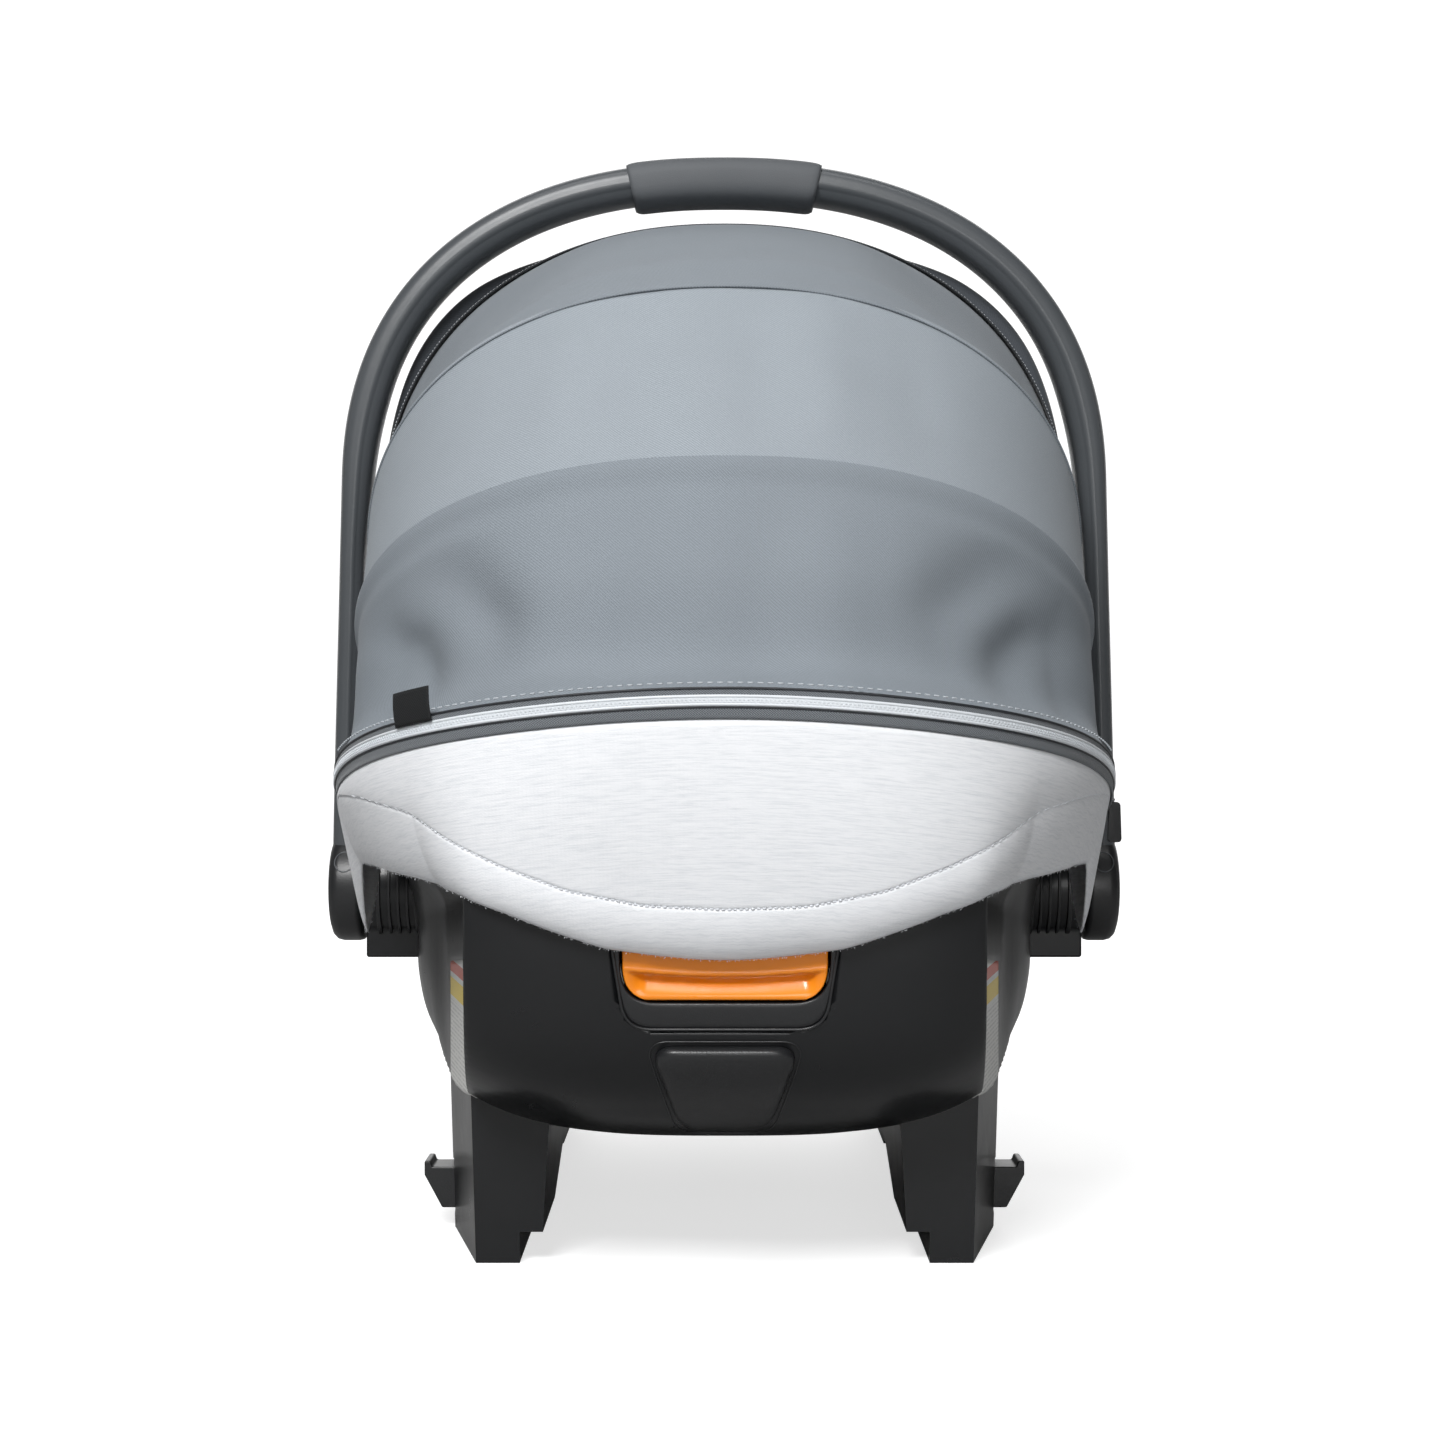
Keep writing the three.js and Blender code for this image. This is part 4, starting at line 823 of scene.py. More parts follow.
def make_bezel():
    centre = np.array([0.0, 154.0])
    outer, pocket = polar(bezel_outline, centre, 260), polar(pocket_outline, centre, 260)

    def ring(points, toward, share, lift):
        flat = points + (toward - points) * share
        return back_panel(flat[:, 0], flat[:, 1], lift)

    rings = [ring(outer, pocket, 0, -12), ring(outer, pocket, 0, -0.9), ring(outer, pocket, 0.06, -0.1)]
    rings += [ring(outer, pocket, s, 0.0) for s in (0.2, 0.5, 0.8)]
    rings += [ring(outer, pocket, s, lift) for s, lift in ((0.93, -0.15), (0.985, -0.6), (1.0, -1.4), (1.0, -22))]
    rings += [ring(pocket, pocket * 0 + centre, s, -22) for s in (0.1, 0.5, 0.995)]
    rings += [ring(pocket, pocket * 0 + centre, s, -24) for s in (0.995, 0.5, 0.02)]
    rings += [ring(outer, pocket, 0, -24)]
    plate = loft("lever_bezel_plate", rings, closed_ends=False)
    work = bmesh.new()
    work.from_mesh(plate.data)
    bmesh.ops.bridge_loops(work, edges=[e for e in work.edges if e.is_boundary])
    bmesh.ops.recalc_face_normals(work, faces=work.faces)
    work.to_mesh(plate.data)
    work.free()
    plate.data.polygons.foreach_set("use_smooth", [True] * len(plate.data.polygons))
    dress(plate, TRIM_BLACK, replaces=["lever_bezel"])
    seam_line("bezel_seam", (bezel_outline + window_outline) / 2, 0.75)


def lever_face(x, z):
    """Lift of the release lever: a lip above a scoop that is deep below the lip and runs out at the bottom."""
    lip = 146.2 - 2.6 * (1 - (x / 45.4) ** 2)
    below = smoothstep(lip - z, -0.25, 0.45)
    slope = np.clip((lip - z) / (lip - 134.6), 0, 1)
    floor_depth = 6.4 * (1 - slope) ** 1.25
    side = smoothstep(45.4 - np.abs(x), 1.4, 10.5)
    bow_out = 0.5 * np.exp(-((z - lip - 1.0) / 1.1) ** 2)
    return -0.9 - below * floor_depth * side + bow_out


def make_lever():
    lever = facade("release_lever_paddle", lever_outline, lever_face, 7.0, rows=96, columns=150, edge=0.9)
    dress(lever, ORANGE, body="lever", replaces=["release_lever"])
    under = facade("release_lever_web", rounded([[-38, 137], [38, 137], [38, 168], [-38, 168]], 8),
                   lambda x, z: -8.2 + 0 * x, 2.0, rows=20, columns=30)
    dress(under, ORANGE, body="lever")


def make_cover():
    """The blank cover low on the back panel: a raised pillow that runs out at its bottom."""
    outline = rounded([[-19.5, 66.5], [19.5, 66.5], [34, 111.8], [-34, 111.8]], 12)
    centre = np.array([0.0, 92.0])
    edge = polar(outline, centre, 220)
    rings = []
    for share, lift in ((0, -1.0), (0, 1.4), (0.02, 3.6), (0.06, 5.4), (0.11, 6.6), (0.18, 7.3), (0.3, 7.7), (0.6, 8.0), (0.97, 8.1)):
        flat = edge + (centre - edge) * share
        height = lift * (0.3 + 0.7 * smoothstep(flat[:, 1], 62, 102))
        rings.append(back_panel(flat[:, 0], flat[:, 1], height))
    dress(loft("rear_cover_plate", rings), TRIM_BLACK, replaces=["rear_cover"])
    seam_line("rear_cover_seam", rounded([[-21.3, 64.2], [21.3, 64.2], [35.8, 114.0], [-35.8, 114.0]], 10.5), 0.4)


def seam_line(name, outline, radius):
    """A fine bead along an outline on the back panel."""
    line = resample(np.vstack([outline, outline[:1]]), 220)[:-1]
    bead = tube(name, back_panel(line[:, 0], line[:, 1], 0.05), radius, 8, closed=True)
    dress(bead, TRIM_BLACK)


def make_labels():
    for side, sign in (("left", -1), ("right", 1)):
        reach = np.linspace(-216, -146, 30)
        angle_at = np.linspace(0.35, 1.5, 400)
        grid = []
        for row in np.linspace(2.85, 5.1, 34):
            line = bowl(SHELL, angle_at, row, 0.35)
            grid.append(bowl(SHELL, np.interp(reach, line[:, 1], angle_at), row, 0.35))
        outer = np.array(grid) * [sign, 1, 1]
        label = thick_grid(f"{side}_shell_label", outer, outer - [sign * 0.5, 0, 0])
        dress(label, LABEL, replaces=[f"{side}_side_label"])


def make_rails():
    for side in ("left", "right"):
        dress(refined(f"{side}_foot_rail", 1.6, 3), SHELL_BLACK, replaces=[f"{side}_foot_rail"])
        dress(refined(f"{side}_latch_bolt", 0.7, 2), TRIM_BLACK, f"{side}_latch", [f"{side}_latch_bolt"])
        dress(refined(f"{side}_belt_guide", 1.2, 2), SHELL_BLACK, replaces=[f"{side}_belt_guide"])
        dress(refined(f"{side}_pivot_bolt", 0.4, 2), STEEL, replaces=[f"{side}_pivot_bolt"])
        sign = -1 if side == "left" else 1
        fins = []
        for x, width, y in ((169, 2.4, -27.5), (174, 1.6, -27.0), (179, 1.6, -27.0), (184, 1.6, -27.0), (190, 2.4, -27.5)):
            z = np.linspace(137, 186, 18)
            bulge = np.sqrt(np.maximum(0, 1 - ((z - 164) / 29) ** 2))
            y_out = y * bulge - 0.8
            rings = [[[sign * (x - width / 2), -8, zz], [sign * (x + width / 2), -8, zz],
                      [sign * (x + width / 2), yo, zz], [sign * (x - width / 2), yo, zz]] for zz, yo in zip(z, y_out)]
            fins.append(loft("fin", rings))
        ribs = bevelled(joined(f"{side}_hub_ribs", fins), 0.35, 2)
        dress(ribs, TRIM_BLACK)
        dress(refined(f"{side}_hub_base", 1.4, 3), SHELL_BLACK, replaces=[f"{side}_hub_base"])


# ---------------------------------------------------------------- carry handle


def handle_edge():
    """Outer edge of the handle as (x, z), from the right hub over the top to the left hub."""
    turn = np.linspace(0, np.pi / 2, 400)
    arch = np.stack([213 * spow(np.cos(turn), 2 / 2.3), 384 + 183.7 * spow(np.sin(turn), 2 / 2.3)], 1)
    arm = np.array([[217.5, 180.0], [217.4, 196.0], [216.0, 260.0], [214.2, 330.0]])
    arm = spline(arm, np.linspace(0, 3, 60))
    right = np.concatenate([arm, arch])
    right[-1, 0] = 0
    right = resample(right, 150)
    smooth = right.copy()
    for _ in range(6):
        smooth[1:-1] = (smooth[:-2] + 2 * smooth[1:-1] + smooth[2:]) / 4
    return np.concatenate([smooth, (smooth * [-1, 1])[-2::-1]])


def bar_rings(edge, thickness, depth, grow=0.0, ridge=0.0, sides=56):
    along = unit(np.gradient(edge, axis=0))
    outward = np.stack([along[:, 1], -along[:, 0]], 1)
    turn = np.linspace(0, 2 * np.pi, sides, endpoint=False)
    share = (1 - spow(np.cos(turn), 0.72)) / 2
    rings = []
    for point, normal, thick in zip(edge, outward, thickness):
        inward = share * (thick + 2 * grow) - grow
        wide = (depth / 2 + grow) * spow(np.sin(turn), 0.72)
        step = ridge * (np.exp(-(((share - 0.57) / 0.045) ** 2)) - 1.5 * smoothstep(share, 0.6, 0.7) * (1 - smoothstep(share, 0.8, 1)))
        wide = wide + np.sign(wide) * step * smoothstep(np.abs(wide), depth * 0.25, depth * 0.4)
        rings.append(np.stack([point[0] - normal[0] * inward, wide, point[1] - normal[1] * inward], -1))
    return np.array(rings)


def make_handle():
    edge = handle_edge()
    thickness = 14.5 + 5.5 * smoothstep(edge[:, 1], 340, 450)
    bar = loft("carry_handle_bar", bar_rings(edge, thickness, 36, ridge=0.9))
    dress(bar, HANDLE_GREY, "handle", ["carry_handle"])
    x = np.linspace(54.5, -54.5, 61)
    inner_edge = np.stack([x, 384 + 183.7 * (1 - (np.abs(x) / 213) ** 2.3) ** (1 / 2.3)], 1)
    outer = bar_rings(inner_edge, np.full(61, 20.0), 36, grow=2.3, sides=56)
    outer[..., 2] -= 1.9 * smoothstep(570 - outer[..., 2], 8, 24)
    inner = bar_rings(inner_edge, np.full(61, 20.0), 36, grow=0.15, sides=56)
    fade = np.minimum(np.arange(61), np.arange(61)[::-1])
    pinch = 1.5 * np.exp(-fade / 1.1)
    outer += (inner - outer) * (pinch / 3.2)[:, None, None]
    low = (570 - outer[..., 2]) / 30
    outer[..., 0] *= 1 - 0.045 * np.clip(low, 0, 1) ** 1.5
    inner[..., 0] *= 1 - 0.045 * np.clip((570 - inner[..., 2]) / 30, 0, 1) ** 1.5
    grip = thick_grid("handle_grip_sleeve", outer, inner, wrap=True)
    dress(grip, GRIP_GREY, "handle", ["handle_grip"])
    for side, sign in (("left", -1), ("right", 1)):
        profile = [(204.9, 0), (204.9, 5.3), (199.4, 5.3), (199.4, 27.5), (200.6, 29.4), (203, 30), (211.5, 30), (214.6, 29.2), (216.6, 27.2),
                   (217.5, 24.5), (217.5, 17.6), (216.9, 16.6), (216.9, 13.6), (216.2, 13.5), (205.6, 13.5), (205.6, 0)]
        dress(lathe(f"{side}_hub_cap", profile, sign, HANDLE_PIVOT_Z), TRIM_BLACK, "handle")
        profile = [(211, 0), (211, 12.4), (212, 12.9), (217.6, 12.9), (218.6, 12.3), (219, 11.2), (218.4, 8), (218.2, 0)]
        button = lathe(f"{side}_release_button_cap", profile, sign, HANDLE_PIVOT_Z)
        dress(button, TRIM_BLACK, f"{side}_handle_button", [f"{side}_release_button"])
        mark = np.linspace(0, 2 * np.pi, 40, endpoint=False)
        z = 179 + 5.2 * np.sin(mark)
        x = 208.5 + 5.2 * np.cos(mark)
        y = -np.sqrt(np.maximum(0, 30**2 - (z - HANDLE_PIVOT_Z) ** 2))
        ring = tube(f"{side}_hub_mark", np.stack([sign * x, y, z], 1), 0.4, 6, closed=True)
        dress(ring, HANDLE_GREY, "handle")


def lathe(name, profile, sign, centre_z, sides=72):
    turn = np.linspace(0, 2 * np.pi, sides, endpoint=False)
    rings = [[[sign * x, r * math.cos(t), centre_z + r * math.sin(t)] for t in turn] for x, r in profile]
    piece = loft(name, rings, closed_ends=False)
    weighted = piece.modifiers.new("shading", "WEIGHTED_NORMAL")
    weighted.keep_sharp = True
    return apply_modifiers(piece)


# ---------------------------------------------------------------- canopy

ARCH_COLUMNS = 241


def arch(width, reach, leg_from=62.0, count=ARCH_COLUMNS):
    """One arch as points (x, r) from the right leg over the top to the left leg, evenly spaced."""
    leg = np.stack([np.full(20, width), np.linspace(leg_from, CANOPY_SPRING_R, 20, endpoint=False)], 1)
    turn = np.linspace(0, np.pi / 2, 600)
    top = np.stack([width * spow(np.cos(turn), 2 / CANOPY_POWER),
                    CANOPY_SPRING_R + (reach - CANOPY_SPRING_R) * spow(np.sin(turn), 2 / CANOPY_POWER)], 1)
    half = np.concatenate([leg, top])
    half[-1, 0] = 0
    return resample(np.concatenate([half, (half * [-1, 1])[-2::-1]]), count - 1)


def swing(points, degrees):
    """Turns (x, r) up from the head end about the canopy's pivot."""
    turn = np.radians(degrees)
    return np.stack([points[..., 0], -points[..., 1] * np.cos(turn), CANOPY_PIVOT_Z + points[..., 1] * np.sin(turn)], -1)


def fold_line(x, z, start, end, width, depth):
    """A soft crease between two points of the (x, z) plane: a valley with a low ridge below it."""
    start, end = np.array(start, float), np.array(end, float)
    along = unit(end - start)
    span = np.linalg.norm(end - start)
    dx, dz = x - start[0], z - start[1]
    t = (dx * along[0] + dz * along[1]) / span
    off = -dx * along[1] + dz * along[0]
    ends = smoothstep(t, -0.25, 0.3) * (1 - smoothstep(t, 0.6, 1.2))
    return ends * depth * (-np.exp(-((off / width) ** 2)) + 0.4 * np.exp(-(((off + 1.8 * width) / (1.3 * width)) ** 2)))


def zip_rise(x):
    """Height of the zip's teeth over the shell's rim."""
    return 3.0 + 9.6 * np.exp(-((x / 120.0) ** 2))


def hem_point(angle, out, over):
    """Point beside the zip: out from the rim, over above the teeth."""
    x = bowl(SHELL, angle, 0)[..., 0]
    return rim_point(angle, out, zip_rise(x) + over)


def rear_sheet_grid():
    """The rear and middle panels in one sheet, from the zip over the rear bow to the middle bow."""
    first = arch(183, 310)
    base = swing(first, 10)
    flange = hem_point(rim_angle(base[:, 0], -base[:, 1]), np.full(len(base), 7.6), 4.9)
    side = smoothstep(np.abs(base[:, 0]), 172, 183)
    anchors = [flange, swing(arch(183.2, 310.6), 13), swing(arch(183.4, 311), 21), swing(arch(183.6, 311.4), REAR_BOW)]
    anchors[1] = flange + (anchors[1] - flange) * (1 - 0.35 * side)[:, None]
    lower = spline(np.stack(anchors), np.concatenate([np.linspace(0, 2.9, 52), [2.955, 2.985, 3.0]]))
    rows = [row for row in lower]
    turns = np.concatenate([[REAR_BOW + 0.06, REAR_BOW + 0.2], np.linspace(REAR_BOW + 0.6, MID_BOW - 0.2, 44), [MID_BOW]])
    for turn in turns:
        share = (turn - REAR_BOW) / (MID_BOW - REAR_BOW)
        points = arch(183.6 + 2.0 * share, 311.4 + 1.4 * share)
        sag = 1 - 0.014 * math.sin(math.pi * share) * smoothstep(points[:, 1], 120, 250)
        rows.append(swing(points * np.stack([0.35 + 0.65 * sag, sag], 1), turn))
    grid = np.array(rows)
    normal = -grid_normals(grid)
    if normal[30, ARCH_COLUMNS // 2, 1] > 0:
        normal = -normal
    x, z = grid[..., 0], grid[..., 2]
    index = np.arange(len(grid))[:, None]
    seam = len(lower) - 1
    lift = 2.4 * smoothstep(index, seam - 6, seam - 2) * (index <= seam)
    fade = np.sin(np.pi * np.clip(index / seam / 0.86, 0, 1)) ** 0.7 * (index <= seam)
    lift = lift + fade * fold_line(x, z, (-134, 338), (-96, 290), 16, 7.0)
    lift = lift + fade * fold_line(-x, z, (-158, 306), (-122, 276), 15, 6.0)
    lift = lift + fade * fold_line(x, z, (-158, 302), (-140, 270), 12, 4.5)
    lift = lift + fade * fold_line(-x, z, (-146, 350), (-90, 300), 19, 8.5)
    fall = np.clip(index / seam / 0.84, 0, 1)
    tucked = smoothstep(np.abs(x), 84, 148) * (1 - 0.9 * smoothstep(np.abs(x), 160, 182))
    lift = lift - 12 * tucked * np.sin(np.pi * fall**1.2) * (index <= seam)
    upper = np.clip((index - seam) / (len(grid) - 1 - seam), 0, 1)
    waves = np.exp(-((x - 48) / 17) ** 2) - 0.8 * np.exp(-((x + 40) / 15) ** 2) - 0.6 * np.exp(-((x - 15) / 13) ** 2)
    waves = waves + 0.55 * np.exp(-((x + 78) / 13) ** 2) - 0.5 * np.exp(-((x - 92) / 14) ** 2)
    lift = lift + 2.6 * waves * np.sin(np.pi * upper) + 2.4 * waves * fade
    low_flutter = 0.5 * np.sin(x / 9.0 + 1.3 * np.sin(x / 31.0)) * np.exp(-index / 7.0)
    return grid + normal * (lift + low_flutter * (np.abs(x) < 170))[..., None], normal


def front_grid():
    """The front panel, from just under the middle bow's seam to the rim zip."""
    rows = []
    turns = np.concatenate([[MID_BOW - 1.0, MID_BOW - 0.5, MID_BOW], np.linspace(MID_BOW + 0.8, 90.2, 52)])
    for turn in turns:
        share = (turn - MID_BOW) / (FRONT_BOW - MID_BOW)
        points = arch(186.3 + 3.0 * np.clip(share, 0, 1), 313.5 + 3.3 * np.clip(share, 0, 1))
        sag = 1 - 0.016 * math.sin(math.pi * np.clip(share, 0, 1)) * smoothstep(points[:, 1], 120, 260)
        rows.append(swing(points * np.stack([0.35 + 0.65 * sag, sag], 1), turn))
    grid = np.array(rows)
    normal = outward(grid)
    index = np.arange(len(grid))[:, None]
    x = grid[..., 0]
    band = np.exp(-((index - 9) / 3.2) ** 2) * smoothstep(170 - np.abs(x), 0, 60)
    ripple = np.sin(x / 23 + 0.8) * np.exp(-((index - 20) / 12.0) ** 2)
    rise = np.clip(index / 54, 0, 1)
    shoulder = smoothstep(np.abs(x), 62, 128) * (1 - 0.7 * smoothstep(np.abs(x), 165, 188)) * np.sin(np.pi * rise**0.7)
    return grid + normal * (1.5 * band + 0.7 * ripple - 9.0 * shoulder)[..., None], normal


def outward(grid):
    """Grid normals that point away from the canopy's middle."""
    normal = grid_normals(grid)
    away = grid - np.array([0, 0, CANOPY_PIVOT_Z])
    return normal * np.sign((normal * away).sum(-1, keepdims=True) + 1e-9)


def sheet_sizes(grid):
    """Width, length and area of a sheet, measured along its cloth, in metres."""
    wide = np.linalg.norm(np.diff(grid, axis=1), axis=-1).sum(axis=1).max()
    long = np.linalg.norm(np.diff(grid, axis=0), axis=-1).sum(axis=0).max()
    a, b = np.diff(grid, axis=0)[:, :-1], np.diff(grid, axis=1)[:-1]
    area = np.linalg.norm(np.cross(a, b), axis=-1).sum()
    return (wide * MM, long * MM), area * MM * MM


def paint_above(piece, material, degrees):
    """Gives the faces further round the canopy than a turn a lighter copy of the cloth, painted light where the panels
    face the top lamp.
    """
    piece.data.materials.append(material)
    for face in piece.data.polygons:
        middle = face.center / MM
        face.material_index = int(math.degrees(math.atan2(middle.z - CANOPY_PIVOT_Z, -middle.y)) > degrees)


def declare(grid):
    flat, area = sheet_sizes(grid)


def make_canopy():
    grid, normal = rear_sheet_grid()
    sheet = thick_grid("canopy_rear_sheet", grid, grid - normal * 1.1)
    dress(sheet, CANOPY_TWILL, body=None, replaces=["canopy_rear_panel", "canopy_mid_panel"])
    # Above the rear bow the sheet gets the lighter cloth: painted light where the panel faces the top lamp.
    paint_above(sheet, CANOPY_PAINTED_LIT, REAR_BOW)
    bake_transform(sheet)
    declare(grid)

    grid, normal = front_grid()
    sheet = thick_grid("canopy_front_sheet", grid, grid - normal * 1.0)
    dress(sheet, CANOPY_FRONT, body=None, replaces=["canopy_front_panel"])
    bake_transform(sheet)
    declare(grid)

    make_visor()
    make_rim_zip()
    for name in ("canopy_rear_bow", "canopy_mid_bow", "canopy_front_bow"):
        nodes[name].data.materials.clear()
        nodes[name].data.materials.append(TRIM_BLACK)
    for side in ("left", "right"):
        mount = refined(f"{side}_canopy_mount", 0.6, 2)
        dress(mount, TRIM_BLACK, replaces=[f"{side}_canopy_mount"])


def make_visor():
    """The folded visor: a padded roll that bulges over the shoulders, in front of the rim zip."""
    spine = arch(190.5, 316.5, 96)
    rings = []
    sides = 26
    turn = np.linspace(0, 2 * np.pi, sides, endpoint=False)
    share = np.linspace(0, 1, ARCH_COLUMNS)
    shoulder = np.exp(-(((share - 0.27) / 0.10) ** 2)) + np.exp(-(((share - 0.73) / 0.10) ** 2))
    crest = np.exp(-(((share - 0.5) / 0.085) ** 2))
    taper = 0.22 + 0.78 * smoothstep(np.minimum(share, 1 - share), 0, 0.11)
    along = unit(np.gradient(spine, axis=0))
    out = np.stack([along[:, 1], -along[:, 0]], 1)
    for point, normal, bulge, low, slim in zip(spine, out, shoulder, crest, taper):
        thick = (4.6 + 3.6 * bulge - 2.0 * low) * slim
        middle = point + normal * (-3.2 + 8.6 * bulge - 2.2 * low)
        radial = middle[None] + normal[None] * (thick * spow(np.cos(turn), 0.9))[:, None]
        ahead = 9.5 * slim * spow(np.sin(turn), 0.9)
        ring = swing(radial, 94.4)
        ring[:, 1] += ahead * math.sin(math.radians(94.4))
        ring[:, 2] += ahead * math.cos(math.radians(94.4))
        rings.append(ring)
    rings = np.array(rings)
    ripple = 0.5 * np.sin(np.arange(ARCH_COLUMNS) / 3.1)[:, None] * np.sin(turn)[None] * (1 - crest)[:, None]
    rings[..., 2] += ripple
    visor = loft("canopy_visor_roll", rings)
    dress(visor, VISOR_TWILL, "canopy_front", ["canopy_visor"])


def frames_along(path, normal):
    along = unit(np.gradient(path, axis=0))
    normal = unit(normal - along * (normal * along).sum(-1, keepdims=True))
    return along, normal, np.cross(along, normal)


def zip_teeth(name, path, normal, pitch, size, gap):
    """Two facing rows of teeth along a path, half a pitch apart."""
    length = np.linalg.norm(np.diff(path, axis=0), axis=1).sum()
    count = int(length / pitch)
    even = resample(np.concatenate([path, normal], axis=1), count)
    rows = []
    for side, shift in ((-1, 0.0), (1, 0.5)):
        centre = even[:-1] + (even[1:] - even[:-1]) * (0.25 + shift)
        along, out, across = frames_along(centre[:, :3], centre[:, 3:])
        rows.append((centre[:, :3] + across * side * gap + out * size[2] / 2, along, across, out))
    parts = [np.concatenate([row[k] for row in rows]) for k in range(4)]
    return blocks(name, *parts, size, taper=0.25)


def strip(name, path, normal, across_from, across_to, thickness, crown=0.0, columns=7):
    """A tape along a path, between two distances to its side."""
    along, out, across = frames_along(path, normal)
    share = np.linspace(0, 1, columns)
    offset = across_from + (across_to - across_from) * share
    bulge = crown * np.sin(np.pi * share)
    outer = path[None] + across[None] * offset[:, None, None] + out[None] * (thickness + bulge)[:, None, None]
    inner = path[None] + across[None] * offset[:, None, None]
    return thick_grid(name, outer, inner), outer


def make_rim_zip():
    points = arch(189.8, 317.2, 96, 500)
    path = swing(points, 89.6)
    along = unit(np.gradient(points, axis=0))
    out = np.stack([along[:, 1], 0 * along[:, 0], -along[:, 0]], 1)
    teeth = zip_teeth("canopy_rim_zip_teeth", path + out * 0.7, out, 2.1, (1.25, 1.5, 1.1), 0.8)
    dress(teeth, ZIP_WHITE, "canopy_front", ["canopy_rim_zipper"])
    tape, outer = strip("canopy_rim_zip_tape", path, out, -5.4, 5.4, np.full(7, 0.9))
    dress(tape, DARK_TAPE, "canopy_front")
    declare(outer)


# ---------------------------------------------------------------- rear zip, tag and stitches


def zip_frame(limit, count):
    """Path of the rear zip's teeth with its outward normal, from the right side to the left."""
    fine = np.linspace(math.radians(limit), -math.radians(limit), 4000)
    line = hem_point(fine, np.full(4000, 7.4), 0.0)
    keep = resample(np.concatenate([line, fine[:, None]], axis=1), count)
    angle = keep[:, 3]
    path = hem_point(angle, np.full(len(angle), 7.4), 0.0)
    out = unit(hem_point(angle, np.full(len(angle), 9.4), 0.0) - path)
    return angle, path, out


def make_rear_zip():
    angle, path, out = zip_frame(80.5, 700)
    sign = 1 if (np.cross(unit(np.gradient(path, axis=0)), out)[350, 2] > 0) else -1
    tape, outer = strip("rear_zip_tape", path, out, sign * -8.2, sign * 5.6, np.linspace(0.4, 0.9, 11), 0.3, 11)
    band, _ = strip("rear_zip_band", path + out * 0.5, out, sign * -2.5, sign * 2.5, np.full(9, 0.9), 0.25, 9)
    dress(tape, TAPE, replaces=["rear_zipper"])
    dress(band, ZIP_WHITE)
    declare(outer)
    along, normal, across = frames_along(path, out)
    for name, offset, lift, radius, look in (("upper_cord", 1.75, 1.2, 0.75, ZIP_WHITE), ("lower_cord", -1.75, 1.2, 0.75, ZIP_WHITE),
                                             ("upper_line", 5.3, 1.0, 0.55, PIPING_BLACK), ("lower_line", -2.9, 0.95, 0.5, PIPING_BLACK)):
        cord = tube(f"rear_zip_{name}", path + across * sign * offset + normal * lift, radius, 8)
        dress(cord, look)
    teeth = zip_teeth("rear_zip_teeth", path + normal * 1.1, out, 1.9, (1.1, 1.1, 0.8), 0.5)
    dress(teeth, ZIP_WHITE)
    make_stitches(path, normal, across * sign)
    make_tag(path, normal, across * sign)
    make_slider(path, normal, across * sign)


def make_stitches(path, normal, across):
    """The dashed seam that holds the canopy to its zip."""
    line = path + across * 7.6 + normal * 1.5
    even = resample(np.concatenate([line, normal], axis=1), int(np.linalg.norm(np.diff(line, axis=0), axis=1).sum() / 4.3))
    keep = np.abs(even[:, 0]) < 186
    along, out, side = frames_along(even[:, :3], even[:, 3:])
    stitches = blocks("rear_zip_stitches", even[keep, :3], along[keep], side[keep], out[keep], (2.7, 0.75, 0.7), 0.3)
    dress(bevelled(stitches, 0.16, 2, 30), THREAD_PALE)


def make_tag(path, normal, across):
    """A small blank woven tag, sewn in above the zip on the left."""
    x = path[:, 0]
    left = (x > -145) & (x < -127)
    base, out, up = path[left], normal[left], across[left]
    rows = np.linspace(2.6, 18.0, 10)
    outer = np.array([base + up * r + out * (3.0 + 0.9 * math.sin(r / 6)) for r in rows])
    tag = cloth_between("woven_tag", outer, out, 0.7)
    dress(tag, TAG_BLACK)
    declare(outer)


def cloth_between(name, outer, out, thickness):
    return thick_grid(name, outer, outer - out[None] * thickness)


def make_slider(path, normal, across):
    """Slider and hanging pull at the right-hand end of the zip."""
    place, out, up = path[2], normal[2], across[2]
    along = np.cross(up, out)
    frame_of = np.array([along, up, out])
    body = rounded([[-5.2, -3.6], [5.2, -3.0], [5.2, 3.0], [-5.2, 3.6]], 2.2, 6)
    rings = [[place + frame_of.T @ np.array([a * s, b * s, h]) for a, b in body] for s, h in ((0.86, 0.4), (1, 1.0), (1, 3.2), (0.88, 3.9))]
    slider = loft("zip_slider_body", rings)
    dress(bevelled(slider, 0.3, 2), STEEL, replaces=["zipper_slider"])
    bridge = np.array([place + frame_of.T @ np.array([a, 0, h]) for a, h in ((-3, 3.4), (-2.4, 5.0), (0, 5.7), (2.4, 5.0), (3, 3.4))])
    dress(tube("zip_slider_bridge", spline(bridge, np.linspace(0, 4, 21)), 0.8, 8), STEEL)
    top = place + frame_of.T @ np.array([0, 0, 5.2]) + [0.6, 0, -1.0]
    pull = rounded([[-3.2, 0], [3.2, 0], [3.9, -21], [-3.9, -21]], 2.5, 6)
    ahead = unit(np.array([0.12, -1.0, 0.0]))
    side = np.cross(ahead, [0, 0, 1.0])
    rings = [[top + side * a * s + np.array([0, 0, b]) + ahead * h for a, b in pull] for s, h in ((0.9, 0.0), (1, 0.5), (1, 1.5), (0.9, 2.0))]
    dress(bevelled(loft("zip_slider_pull", rings), 0.3, 2), TRIM_BLACK)


# ---------------------------------------------------------------- skirts

